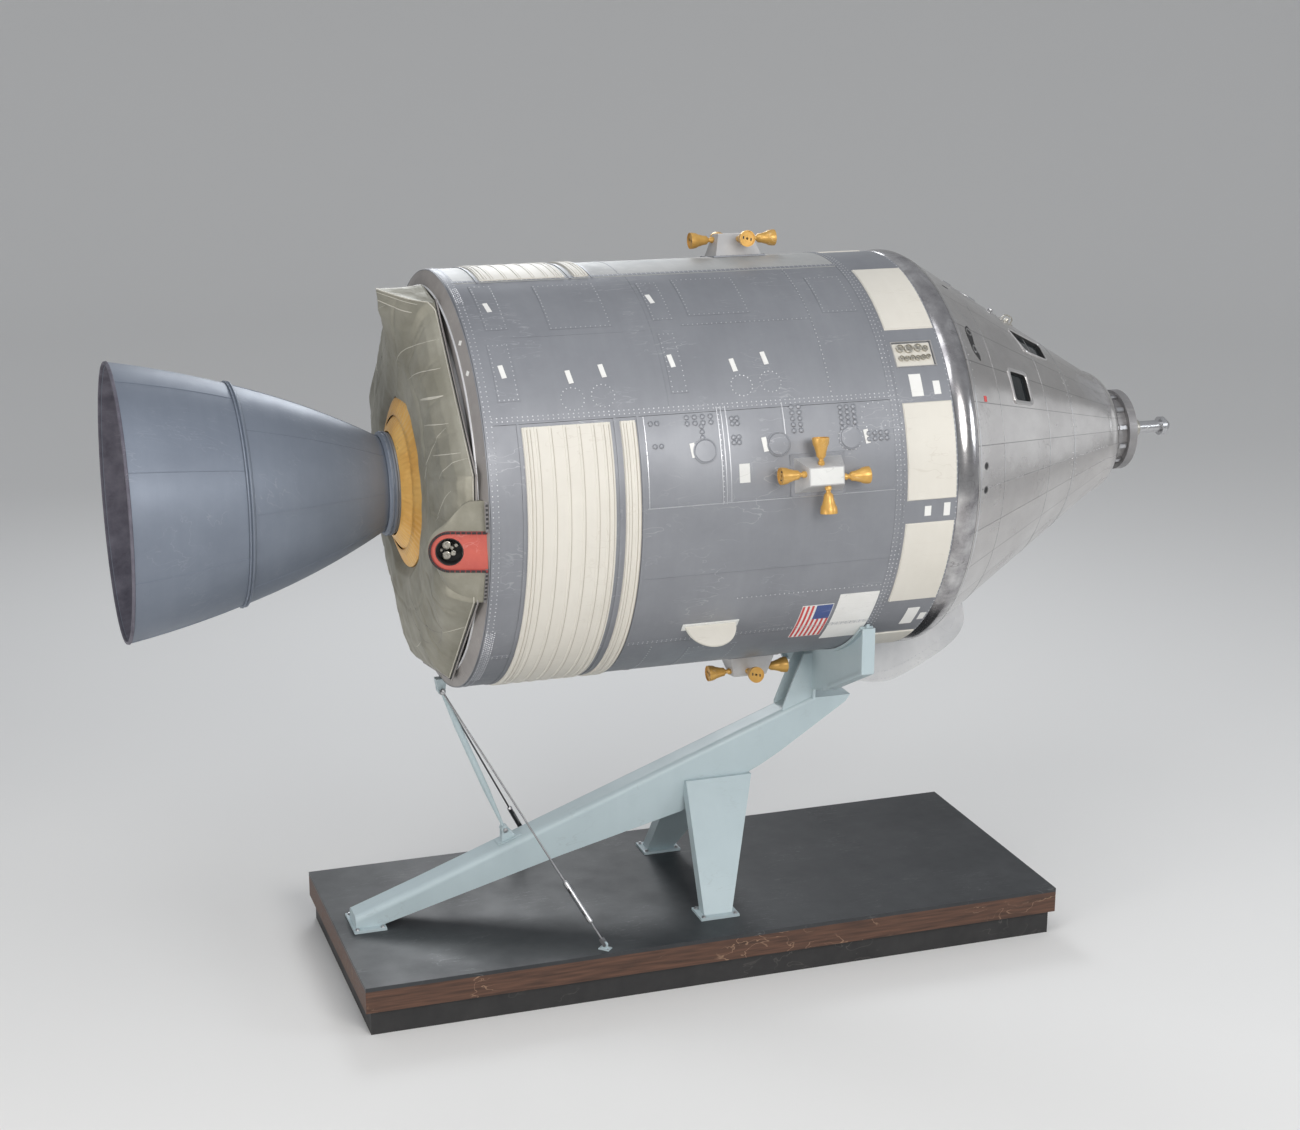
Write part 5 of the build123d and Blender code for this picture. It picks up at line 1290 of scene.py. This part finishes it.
# Each arc is three (x, radius) points; a wall's or a lining's own arc lies inside it
nozzle = dict(
    wall=.02, segments=220, points=26, extension=((.028, 1.264), (.53, 1.16), (1.04, 1.02)),
    extensionIn=((1.04, 1), (.528, 1), (.028, 1)), bell=((1.106, 1.000), (1.78, .755), (2.41, .444)),
    bellIn=((2.41, 2), (1.772, 1), (1.106, 1)),
    extensionLining=((.032, 1.24), (.528, 1.1385), (1.02, 1.0005)),
    bellLining=((1.11, .976), (1.772, .734), (2.4, .403)), lining=.003,
    exitRim=((0, 1.246), (.0, 1.264), (.004, 1.27), (.022, 1.273), (.028, 1.266), (.028, 1.244),
    (.01, 1.242)), jointRing=((1.042, .995), (1.042, 1.028), (1.046, 1.034), (1.056, 1.034), (1.06, 1.028),
    (1.066, 1.02), (1.072, 1.028), (1.076, 1.033), (1.086, 1.031), (1.09, 1.012), (1.104, 1.004),
    (1.104, .974)), neckFlange=((2.412, .38), (2.412, .46), (2.424, .47), (2.432, .484), (2.446, .486),
    (2.45, .476), (2.462, .476), (2.466, .486), (2.484, .485), (2.494, .476), (2.494, .38)), weld=.0035,
    weldLift=.0005, weldPitch=45, bolt=((.009, -.003), (.009, .003), (.006, .005)),
    boltRings=((1.0515, 1.034, 6), (2.44, .486, 12)))


# A wall's outer arc and, back again, its inner one, whose points lie a number of walls further in
def wallArcs(outer, inward):
    depths = zip(inward, reversed(outer))
    inner = [(x, r - walls * nozzle["wall"]) for (x, walls), (_, r) in depths]
    return arcProfile(*outer, nozzle["points"]), arcProfile(*inner, nozzle["points"])


bellArcs = []
for name, outer, inward, node in (("nozzleExtension", "extension", "extensionIn", "nozzle_extension"),
        ("nozzleBell", "bell", "bellIn", "nozzle_bell")):
    outerArc, innerArc = wallArcs(nozzle[outer], nozzle[inward])
    bellArcs.append(outerArc)
    bell = lathe(name, outerArc + innerArc, "nozzleBlue", "engine", nozzle["segments"], sharpDeg=40)
    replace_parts(bell, node)
exitRim = lathe("nozzleExitRim", nozzle["exitRim"], "nozzleInner", "engine", nozzle["segments"])
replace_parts(exitRim, "nozzle_exit_rim")
jointRing = lathe("nozzleJointRing", nozzle["jointRing"], "nozzleBlue", "engine", nozzle["segments"],
    sharpDeg=45)
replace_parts(jointRing, "nozzle_joint_ring")
neckFlange = lathe("neckFlange", nozzle["neckFlange"], "nozzleBlue", "engine", 140)
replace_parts(neckFlange, "neck_flange")

# Inner lining of the bell, a thin closed sheet just inside the wall, the lengthways weld lines, and bolts
# in rings of (x, radius, pitch in degrees)
for name, segments in (("extensionLining", 200), ("bellLining", 180)):
    lining = arcProfile(*nozzle[name], 24)
    liningBack = [(x, r - nozzle["lining"]) for x, r in lining][::-1]
    lathe(name, lining + liningBack, "nozzleInner", "engine", segments, sharpDeg=50)
parts = []
for angle in np.arange(20, 380, nozzle["weldPitch"]):
    for profile, start in zip(bellArcs, (0, nozzle["weldPitch"] / 2)):
        path = np.array([wrap(x, r + nozzle["weldLift"], angle + start) for x, r in profile])
        parts.append(tube(path, nozzle["weld"], 6))
addMesh("bellWeldLines", *joined(parts), "nozzleBlue", "engine")
boltFrames = [hullFrame(x, a, r) for x, r, pitch in nozzle["boltRings"] for a in np.arange(0, 360, pitch)]
addMesh("bellBolts", *stamp(turned(nozzle["bolt"], 6), boltFrames), "nozzleBlue", "engine")

# Gold boot: a pleated collar that moves with the engine and a pleated ring fixed to the hull. The ring's
# outline is x, radius and how far the pleats lift each point
boot = dict(
    pivot=3.4, ball=1.015, thick=.014, start=28.7, stop=46, pleats=72, depth=.004, ringDepth=.006,
    countA=576, ringX=(2.585, 2.578, 2.598, 2.618, 2.64, 2.662, 2.64, 2.603),
    ringR=(.627, .64, .69, .745, .795, .795, .735, .657), ringLift=(0, .3, 1, 1, .3, 0, 0, 0))
angle = np.linspace(0, 360, boot["countA"], endpoint=False)
pleat = .5 * (1 - np.cos(np.radians(angle * boot["pleats"])))
run = np.linspace(boot["start"], boot["stop"], 14)
deg = np.concatenate([run, run[::-1]])[:, None]
layer = np.repeat([0, -boot["thick"]], 14)[:, None]
radius = boot["ball"] + layer - boot["depth"] * pleat * np.clip((deg - 29) / 3, 0, 1)
collarX, collarR = boot["pivot"] - radius * np.cos(np.radians(deg)), radius * np.sin(np.radians(deg))
collar = addMesh("bootCollar", wrap(collarX, collarR, angle), gridFaces(len(deg), len(angle), True, True),
    "bootGold", "engine", sharpDeg=60)
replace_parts(collar, "boot_collar")
ringX, ringR, ringLift = (np.array(boot[k])[:, None] for k in ("ringX", "ringR", "ringLift"))
bootRing = addMesh("bootRing", wrap(ringX + boot["ringDepth"] * ringLift * pleat, ringR, angle),
    gridFaces(len(ringX), len(angle), True, True), "bootGold", sharpDeg=50)
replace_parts(bootRing, "boot_ring")
print("stage: engine built")

# Capsule windows: (x, angle, outline along the slope and across it, frame width), the same on both sides
window = dict(
    windows=((8.8, 30.0, ((-.284, .108), (.238, .144), (.212, -.093), (-.161, -.167)), .016),
    (8.38, 57.7, ((-.14, .146), (.128, .138), (.142, -.13), (-.136, -.15)), .044)), corner=.04,
    frame=(-.012, .007), jambShare=.965, jamb=(.006, -.085, -.003, .001), screw=(.005, .003, 6))
frameParts, jambParts, screwFrames = [], [], []
for x, angle, outline, width in window["windows"]:
    for side in (-1, 1):
        rim = roundOutline([(p, q * side) for p, q in outline], window["corner"])
        place = coneFrame(x, side * angle)
        frameParts.append(stamp(rimRing(rim, width, *window["frame"]), [place]))
        jambParts.append(stamp(rimRing(rim * window["jambShare"], *window["jamb"]), [place]))
        centre = rim.mean(0)
        for corner in rim[2::3]:
            away = corner - centre
            spot = centre + away * (1 + width * .55 / np.linalg.norm(away))
            screwFrames.append(shifted(place, *spot, window["frame"][1]))
addMesh("windowFrames", *joined(frameParts), "frameBright")
addMesh("windowJambs", *joined(jambParts), "blackTrim")
addMesh("windowScrews", *stamp(dome(*window["screw"]), screwFrames), "bareSteel", tidy=False)

# Side hatch: window ring, latch, vent and screws outside; gearbox, handle boss and bar inside
hatch = dict(
    x=8.33, window=.117, windowX=8.35, ring=(.035, -.01, .006), latch=((-.26, .22), (.25, -.24)),
    latchProfile=((.03, -.01), (.03, .004), (.024, .007), (.012, .007), (.012, .01)), vent=(-.26, -.12),
    ventBlock=(.1, .035, .007, .003, .01), screw=(.006, .003, 6), screwReach=.33, screws=9, bend=3.5,
    gearbox=(.34, .5, .035, .012, .0), gearboxIn=-.15, boss=((.05, 0), (.05, .05), (.03, .06)),
    bossIn=-.185, aft=.12, barIn=-.24, barReach=(-.16, .02), bar=.013)
spin = fullTurn(40)
circle = hatch["window"] * np.stack([np.cos(spin), np.sin(spin)], -1)
addMesh("hatchWindowRing", *stamp(rimRing(circle, *hatch["ring"]), [coneFrame(hatch["windowX"], 0)]),
    "bareSteel", "hatch")
outside = coneFrame(hatch["x"], 0)
reach = hatch["screwReach"]
hatchScrews = [shifted(outside, du, dv, -dv * dv / hatch["bend"]) for du in (-reach, reach)
    for dv in np.linspace(-reach, reach, hatch["screws"])]
latches = stamp(turned(hatch["latchProfile"], 18), [shifted(outside, *spot) for spot in hatch["latch"]])
vent = stamp(block(*hatch["ventBlock"]), [shifted(outside, *hatch["vent"])])
screws = stamp(dome(*hatch["screw"]), hatchScrews)
addMesh("hatchFittings", *joined([latches, vent, screws]), "bareSteel", "hatch")
origin, u, v, n = outside
inside = (origin, u, -v, -n)  # looking inwards, so depths change their sign
bar = [shifted(outside, hatch["aft"], dv, hatch["barIn"])[0] for dv in np.linspace(*hatch["barReach"], 6)]
gearbox = stamp(block(*hatch["gearbox"]), [shifted(inside, dn=-hatch["gearboxIn"])])
handleBoss = stamp(turned(hatch["boss"], 20), [shifted(inside, hatch["aft"], 0, -hatch["bossIn"])])
addMesh("hatchGearbox", *joined([gearbox, handleBoss, tube(bar, hatch["bar"], 10)]), "consoleGrey", "hatch")

# Cone bands, raised round the shell; each is (x, half width, degrees left open on each side of the top,
# points). Rivet rows are (x, pitch in degrees)
coneBand = dict(bands=((7.66, .01, 0, 181), (8.02, .004, 27, 170), (8.74, .004, 27, 170),
    (9.145, .01, 0, 181)), sink=.003, lift=.0014, rivets=((7.69, 2.4), (9.11, 3.6), (9.18, 3.6)),
    rivet=(.005, .0022, 6))
parts = []
for x0, half, skip, points in coneBand["bands"]:
    x, a = np.meshgrid(x0 + np.linspace(-half, half, 3), np.linspace(skip, 360 - skip, points),
        indexing="ij")
    parts.append(slab(x, a, coneRadius(x) - coneBand["sink"], coneRadius(x) + coneBand["lift"]))
addMesh("coneBands", *joined(parts), "silverFilm")
coneRivets = [coneFrame(x, a) for x, pitch in coneBand["rivets"] for a in np.arange(1.0, 360, pitch)]
addMesh("coneRivets", *stamp(dome(*coneBand["rivet"]), coneRivets), "bareSteel", tidy=False)

# Roll ports: a dark scooped keyhole on each side, given by its middle line and half width over the angle,
# with two ringed ports in it, (x, angle, radius, stretch round). Dark liners close these and the side ports
keyhole = dict(
    angle=(39.9, 40.3, 41.0, 42.3, 44.0, 46.0, 48.7, 50.4, 51.6, 52.1),
    middle=(7.822, 7.82, 7.817, 7.813, 7.806, 7.804, 7.815, 7.832, 7.848, 7.856),
    half=(.004, .024, .04, .051, .045, .037, .041, .031, .017, .004), sink=.006, lift=.0016,
    rings=((7.813, 42.3, .043, 1.0), (7.815, 48.4, .033, 1.35)),
    ring=((1, 0), (1, .005), (.86, .0075), (.7, .005), (.64, .0028)), linerShare=.62, liner=.0034,
    ports=(84, 91, -84, -91, 174, 186), portX=7.735, portSink=-.006, portR=.0285, portLiner=.0008)
keyParts, ringParts, liners = [], [], []
for side in (-1, 1):
    turns = np.linspace(keyhole["angle"][0], keyhole["angle"][-1], 40)
    reach, angle = np.meshgrid(np.linspace(-1, 1, 7) * side, turns, indexing="ij")
    half = np.interp(angle, keyhole["angle"], keyhole["half"]) * math.cos(coneHalf)
    x = np.interp(angle, keyhole["angle"], keyhole["middle"]) + reach * half
    keyParts.append(slab(x, angle * side, coneRadius(x) - keyhole["sink"], coneRadius(x) + keyhole["lift"]))
    for x0, turn, ringR, stretch in keyhole["rings"]:
        origin, u, v, n = coneFrame(x0, turn * side)
        place = (origin, u, v * stretch, n)
        ring = turned([(ringR * share, h) for share, h in keyhole["ring"]], 24)
        ringParts.append(stamp(ring, [place]))
        liners.append((place, ringR * keyhole["linerShare"], keyhole["liner"]))
for angle in keyhole["ports"]:
    place = coneFrame(keyhole["portX"], angle, keyhole["portSink"])
    liners.append((place, keyhole["portR"], keyhole["portLiner"]))
addMesh("portScoops", *joined(keyParts), "blackTrim")
addMesh("portRings", *joined(ringParts), "portSteel")
addMesh("portLiners", *joined([stamp(turned([(r, -.002), (r, high)], 20), [place])
    for place, r, high in liners]), "blackTrim")

# Small things on the cone: vent slots, red tabs, and a sighting bracket made of a foot, a bent bar and a
# stud
cone = dict(
    vent=(7.84, 20.7, 4), ventBlock=(.075, .022, .0012, 0, .004), tab=(7.8, 64.5),
    tabBlock=(.035, .055, .006, .002, .003), sight=(8.75, 8.3), sightFoot=(.15, .07, .006, .002, .003),
    sightBar=((-.06, 0), (-.055, .045), (-.03, .062), (.03, .062), (.055, .045), (.06, 0)), bar=.008,
    stud=((.022, .0), (.022, .03), (.017, .038), (.006, .04)))
ventX, ventAngle, ventTurn = cone["vent"]
addMesh("ventSlots", *stamp(block(*cone["ventBlock"]),
    [coneFrame(ventX, ventAngle * side, turn=ventTurn * side) for side in (1, -1)]), "blackTrim")
tabX, tabAngle = cone["tab"]
addMesh("sideTabs", *stamp(block(*cone["tabBlock"]),
    [coneFrame(tabX, tabAngle * side) for side in (1, -1)]), "stripeRed")
sight = coneFrame(*cone["sight"])
sightBar = [shifted(sight, du, 0, dn)[0] for du, dn in cone["sightBar"]]
addMesh("sightBracket", *joined([stamp(block(*cone["sightFoot"]), [sight]), tube(sightBar, cone["bar"], 8),
    stamp(turned(cone["stud"], 18), [sight])]), "connectorMetal")
print("stage: capsule details built")

# Nose: smooth cap, latch blocks round the docking ring, its seals, and the probe's hub and tip
nose = dict(
    capX=9.149, capRound=9.73, capBulge=.06, capMiddle=9.89, capTop=.355, capEnd=(9.958, .361), capIn=.3605,
    capBack=9.952, latchX=10.06, latchR=.355, latchPitch=30, latch=(.09, .05, .028, .006, .004),
    seals=((10.199, .372), (10.203, .374), (10.203, .38), (10.199, .382), (10.199, .392), (10.203, .394),
    (10.203, .4), (10.199, .402), (10.196, .402), (10.196, .372)),
    hub=((10.424, .064), (10.424, .088), (10.405, .098), (10.3, .098), (10.29, .091), (10.29, .064)),
    tip=((10.692, .0005), (10.692, .094), (10.7, .0948), (10.735, .0948), (10.742, .09), (10.797, .038),
    (10.8, .0005)))
roundX, roundR = nose["capRound"], float(coneRadius(nose["capRound"]))
capArc = arcProfile((roundX, roundR), (nose["capMiddle"], (roundR + nose["capTop"]) / 2 + nose["capBulge"]),
    nose["capEnd"], 12)
capProfile = [(nose["capX"], coneRadius(nose["capX"])), (roundX, roundR), *capArc[1:],
    (nose["capBack"], nose["capIn"]), (nose["capX"], nose["capIn"])]
forwardShield = lathe("forwardShield", capProfile, "stripFilm", "craft", 160)
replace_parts(forwardShield, "forward_shield")
latchFrames = [hullFrame(nose["latchX"], angle, nose["latchR"])
    for angle in np.arange(15, 375, nose["latchPitch"])]
addMesh("dockLatches", *stamp(block(*nose["latch"]), latchFrames), "bareSteel")
lathe("dockSeals", nose["seals"], "blackTrim", "craft", 96)
lathe("probeHub", nose["hub"], "connectorMetal", "craft", 48)
lathe("probeTip", nose["tip"], "connectorMetal", "probe", 48)

# Umbilical housing: rivet rows on both cheeks and across its back, spaced along its (x, z) outline
housing = dict(
    outline=((6.96, -2.33), (7.43, -2.425), (7.59, -2.43), (7.81, -2.36), (8.04, -2.25), (8.26, -2.12),
    (8.4, -1.98), (8.445, -1.84)), start=.04, pitch=.045, cheek=.16, back=.13, insets=(.03, .11),
    rivet=(.0065, .003, 6))
outline = np.array(housing["outline"])
lengths = np.concatenate([[0], np.cumsum(np.linalg.norm(np.diff(outline, axis=0), axis=1))])
spots = np.arange(housing["start"], lengths[-1], housing["pitch"])
points = np.stack([np.interp(spots, lengths, outline[:, k]) for k in (0, 1)], -1)
slopes = np.gradient(points, axis=0)
slopes /= np.linalg.norm(slopes, axis=1)[:, None]
rivetFrames = []
for (px, pz), (runX, runZ) in zip(points, slopes):
    point, run, outward = np.array([px, 0, pz]), np.array([runX, 0, runZ]), np.array([runZ, 0, -runX])
    for side in (-1, 1):
        for inset in housing["insets"]:
            spot = point - outward * inset + [0, side * housing["cheek"], 0]
            rivetFrames.append(flatFrame(spot, run, [0, side, 0]))
        rivetFrames.append(flatFrame(point + [0, side * housing["back"], 0], run, outward))
addMesh("housingRivets", *stamp(dome(*housing["rivet"]), rivetFrames), "rivet", tidy=False)
print("stage: nose and housing built")

# Stand: hex bolts on the foot plates (x, y, length, width), nuts on the strut's pins (x, half width, z),
# lock nuts on the turnbuckles at their distances up the stay, and screws on the deck eyes
stand = dict(
    deckZ=-4.4, footTop=.025, boltInset=.035,
    feet=((2.15, 0, .32, .46), (5.475, -.87, .4, .29), (5.475, .87, .4, .29)),
    pins=((2.95, .088, -2.075), (3.56, .051, -3.59)),
    pinNut=((.026, 0), (.026, .003), (.026, .012), (.02, .014), (.011, .018)), stayFoot=(4.19, 1.3, -4.354),
    stayTop=(2.95, .078, -2.075), lockNuts=((.7, -1), (.26, 1)),
    lockNut=((.019, 0), (.019, .012), (.013, .016)), eyeTop=.012, eyeScrews=(.041, .024),
    eyeScrew=((.0085, 0), (.0085, .004), (.006, .006)))
upward = np.array([0, 0, 1.0])
footBolts = []
for x, y, length, width in stand["feet"]:
    halfX, halfY = length / 2 - stand["boltInset"], width / 2 - stand["boltInset"]
    boltSpots = [(x + du * halfX, y + dv * halfY, stand["deckZ"] + stand["footTop"]) for du in (-1, 1)
        for dv in (-1, 1)]
    footBolts += [flatFrame(spot, (1, 0, 0), upward) for spot in boltSpots]
boltHead = joined([turned([(.024, 0), (.024, .004)], 20),
    turned([(.016, .004), (.016, .018), (.013, .02)], 6)])
addMesh("footBolts", *stamp(boltHead, footBolts), "bareSteel")
pinNuts = [flatFrame((x, side * half, z), (1, 0, 0), (0, side, 0)) for x, half, z in stand["pins"]
    for side in (-1, 1)]
addMesh("strutPinNuts", *stamp(turned(stand["pinNut"], 6), pinNuts), "bareSteel")
lockNuts, eyeScrews = [], []
for side in (-1, 1):
    foot, top = (np.array(stand[k]) * [1, side, 1] for k in ("stayFoot", "stayTop"))
    length = np.linalg.norm(foot - top)
    run = (foot - top) / length
    across = np.cross(upward, run)
    lockNuts += [flatFrame(top + run * (length - back), across, run * way)
        for back, way in stand["lockNuts"]]
    ahead = np.array([run[0], run[1], 0]) / math.hypot(run[0], run[1])
    eye = np.array([foot[0], foot[1], stand["deckZ"] + stand["eyeTop"]])
    halfAhead, halfAcross = stand["eyeScrews"]
    eyeScrews += [flatFrame(eye + ahead * du + np.cross(upward, ahead) * dv, ahead, upward)
        for du in (-halfAhead, halfAhead) for dv in (-halfAcross, halfAcross)]
addMesh("turnbuckleNuts", *stamp(turned(stand["lockNut"], 6), lockNuts), "bareSteel")
addMesh("eyeScrews", *stamp(turned(stand["eyeScrew"], 6), eyeScrews), "bareSteel")
print("stage: stand details built")

# Couches: cushions and straps on the back, the seat and the leg rest, which follow the couch's (x, z) line
couch = dict(
    places=(-.59, 0, .59), line=((8.036, .74), (8.036, -.02), (8.4, -.075), (8.58, -.5)),
    widths=(.46, .42, .3), cushionShare=.94, cushion=(.045, .018, .0), strap=(.05, .002, .0),
    strapLength=.045, strapOver=.02)
cushions, straps = [], []
for y in couch["places"]:
    for (xa, za), (xb, zb), width in zip(couch["line"], couch["line"][1:], couch["widths"]):
        run = np.array([xb - xa, 0, zb - za])
        length = np.linalg.norm(run)
        run /= length
        outward = np.array([-run[2], 0, run[0]])  # ahead on a steep stretch, upward on a flat one
        if outward[0 if abs(outward[0]) > abs(outward[2]) else 2] < 0:
            outward = -outward
        place = flatFrame(((xa + xb) / 2, y, (za + zb) / 2), run, outward)
        cushion = block(length * couch["cushionShare"], width, *couch["cushion"])
        cushions.append(stamp(cushion, [place]))
        strap = block(couch["strapLength"], width + couch["strapOver"], *couch["strap"])
        straps.append(stamp(strap, [place]))
addMesh("couchCushions", *joined(cushions), "couchFabric")
addMesh("couchStraps", *joined(straps), "blackTrim")

# Console: rows of switches with some places left free, and dials (y, z, radius)
console = dict(
    faceX=8.655, rows=(-.1, .34, 9), columns=(-.54, .54, 28), free=5, dialX=8.653,
    switch=((.007, 0), (.007, .003), (.003, .004), (.003, .014), (.001, .016)),
    dials=((-.3, .12, .07), (.0, .16, .08), (.3, .12, .07), (-.45, .26, .04), (.45, .26, .04)),
    dial=((1, 0), (1, .012), (.86, .014), (.84, .006), (.1, .007)))
switches = []
for row, z in enumerate(np.linspace(*console["rows"])):
    for column, y in enumerate(np.linspace(*console["columns"])):
        if (row * 7 + column * 3) % console["free"]:
            switches.append(flatFrame((console["faceX"], y, z), (0, 1, 0), (-1, 0, 0)))
addMesh("consoleSwitches", *stamp(turned(console["switch"], 8), switches), "bareSteel")
dials = []
for y, z, r in console["dials"]:
    place = flatFrame((console["dialX"], y, z), (0, 1, 0), (-1, 0, 0))
    dials.append(stamp(turned([(r * share, h) for share, h in console["dial"]], 28), [place]))
addMesh("consoleDials", *joined(dials), "blackTrim")
print("stage: cabin built")

# Pieces that keep the CAD surface, with their finish, and the widths of those edges that catch the light
cadFinish = {
    "service_core": "innerMetal", "engine_bay_wall": "innerMetal", "engine_block": "innerMetal",
    # The quad housings take the grey copy of the quad white: painted shade on their sides
    "gimbal_ring": "innerMetal", "fairing_ring": "hullGrey", "quad_housings": "quadSide",
    "scimitar_antennas": "radiatorCream", "capsule_heat_shield": "shieldFilm", "crew_shell": "stripFilm",
    "side_hatch": "stripFilm", "hatch_window": "windowGlass", "cabin_windows": "windowGlass",
    "capsule_ports": "portSteel", "docking_tunnel": "shieldGrey", "probe_body": "bareSteel",
    "probe_head": "bareSteel", "umbilical_housing": "housingSilver", "stand_beam": "standPaint",
    "stand_legs": "standPaint", "foot_plates": "standPaint", "saddle": "standPaint",
    "head_gussets": "standPaint", "rear_strut": "standPaint", "strut_brackets": "standPaint",
    "stay_rods": "staySteel",
    "turnbuckles": "bareSteel", "deck_eyes": "standPaint", "plinth_base": "plinthDark",
    "plinth_trim": "plinthWood", "plinth_deck": "deckSlate", "crew_couches": "consoleGrey",
    "display_console": "consoleGrey"}
easedEdges = {"quad_housings": .006, "umbilical_housing": .012, "stand_beam": .006, "stand_legs": .01,
              "foot_plates": .004, "saddle": .005, "head_gussets": .004, "strut_brackets": .008,
              "plinth_trim": .008, "plinth_deck": .006, "display_console": .008, "crew_couches": .01}
easing = dict(segments=3, angle=28)
for nodeName, finish in cadFinish.items():
    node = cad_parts[nodeName]
    node.data.materials.clear()
    node.data.materials.append(materials[finish])
    if nodeName in easedEdges:
        bevel = node.modifiers.new("easedEdge", "BEVEL")
        bevel.width = easedEdges[nodeName]
        bevel.segments = easing["segments"]
        bevel.limit_method = "ANGLE"
        bevel.angle_limit = math.radians(easing["angle"])
print("stage: CAD finishes set")

# Stage: a pale bowl. Its floor is flat out to the last flat radius, and from there each row follows a
# quarter ellipse: radius = flat + reach * sin(t), height = rise * (1 - cos(t))
bowl = dict(flat=(.02, 20, 38), reach=22.0, rise=26.0, steps=(.12, math.pi / 2, 14), sides=96,
    tint=(.8, .795, .785), roughness=.75)
turn = fullTurn(bowl["sides"])
bowlRows = [(r, 0) for r in bowl["flat"]]
flatEnd = bowl["flat"][-1]
for t in np.linspace(*bowl["steps"]):
    bowlRows.append((flatEnd + bowl["reach"] * math.sin(t), bowl["rise"] * (1 - math.cos(t))))
bowlVerts = [(r * math.cos(t), r * math.sin(t), h) for r, h in bowlRows for t in turn]
floorMesh = bpy.data.meshes.new("studioFloor")
floorMesh.from_pydata(bowlVerts, [], gridFaces(len(bowlRows), len(turn), False, True)
    + [list(range(len(turn)))])
floorMesh.shade_smooth()
floor = bpy.data.objects.new("studioFloor", floorMesh)
bpy.context.scene.collection.objects.link(floor)
floorMaterial = bpy.data.materials.new("paleFloor")
floorMaterial.use_nodes = True
floorShader = floorMaterial.node_tree.nodes["Principled BSDF"]
floorShader.inputs["Base Color"].default_value = color(*bowl["tint"])
floorShader.inputs["Roughness"].default_value = bowl["roughness"]
floorMesh.materials.append(floorMaterial)

# Lights: place, aim, size, watts, colour
lightRows = {
    "keySoftbox": ((1.5, -17.5, 12.0), (.0, 0, 4.6), 9.0, 1470, (1.0, .98, .95)),
    "topSoftbox": ((-5.0, -6.0, 17.0), (0, 0, 4.9), 9.0, 460, (.97, .98, 1.0)),
    "noseFill": ((15.0, -10.0, 9.0), (3.5, 0, 4.4), 5.0, 480, (.92, .96, 1.0)),
    "noseCard": ((18.0, -1.5, 5.6), (2.8, 0, 4.9), 8.0, 70, (.94, .97, 1.0)),
    "backRim": ((2.0, 15.0, 12.0), (0, 0, 5.0), 6.0, 700, (.94, .97, 1.0)),
    "tailFill": ((-16.0, -9.0, 4.5), (-3.5, 0, 4.6), 6.0, 780, (1.0, .97, .93))}
for lightName, (place, aim, size, watts, tint) in lightRows.items():
    data = bpy.data.lights.new(lightName, "AREA")
    data.shape = "DISK"
    data.size = size
    data.energy = watts
    data.color = tint
    lamp = bpy.data.objects.new(lightName, data)
    lamp.location = place
    lamp.rotation_euler = (Vector(aim) - Vector(place)).to_track_quat("-Z", "Y").to_euler()
    bpy.context.scene.collection.objects.link(lamp)

# World: grey from below, lighter from above
backdrop = dict(heights=(-.2, .9), low=(.34, .35, .37), high=(.78, .8, .83), strength=.62)
world = bpy.data.worlds.new("studioWorld")
bpy.context.scene.world = world
world.use_nodes = True
tree = world.node_tree
background = tree.nodes["Background"]
direction = addNode(tree, "ShaderNodeTexCoord").outputs["Generated"]
height = addNode(tree, "ShaderNodeSeparateXYZ", {"Vector": direction}).outputs["Z"]
share = ramp(tree, height, *backdrop["heights"])
sky = mixColor(tree, share, color(*backdrop["low"]), color(*backdrop["high"]))
feed(background, "Color", sky)
background.inputs["Strength"].default_value = backdrop["strength"]

# Camera: the place and angles that the photo was taken from; angles in degrees, lens and sensor in
# millimetres
view = dict(place=(-7.168, -19.913, 9.8), yaw=-18.967, pitch=-15.699, roll=.195, lens=61.86, sensor=36,
    farEnd=400)
yaw, pitch, roll = (math.radians(view[k]) for k in ("yaw", "pitch", "roll"))
ahead = Vector((-math.sin(yaw) * math.cos(pitch), math.cos(yaw) * math.cos(pitch), math.sin(pitch)))
right = Vector((math.cos(yaw), math.sin(yaw), 0))
above = right.cross(ahead)
rolledRight = right * math.cos(roll) + above * math.sin(roll)
rolledUp = above * math.cos(roll) - right * math.sin(roll)
cameraData = bpy.data.cameras.new("photoCamera")
cameraData.lens = view["lens"]
cameraData.sensor_width = view["sensor"]
cameraData.clip_end = view["farEnd"]
camera = bpy.data.objects.new("photoCamera", cameraData)
turnMatrix = Matrix((rolledRight, rolledUp, -ahead)).transposed().to_4x4()
camera.matrix_world = Matrix.Translation(view["place"]) @ turnMatrix
bpy.context.scene.collection.objects.link(camera)
bpy.context.scene.camera = camera
bpy.context.scene.view_settings.view_transform = "Standard"
print("stage: stage, lights and camera set")
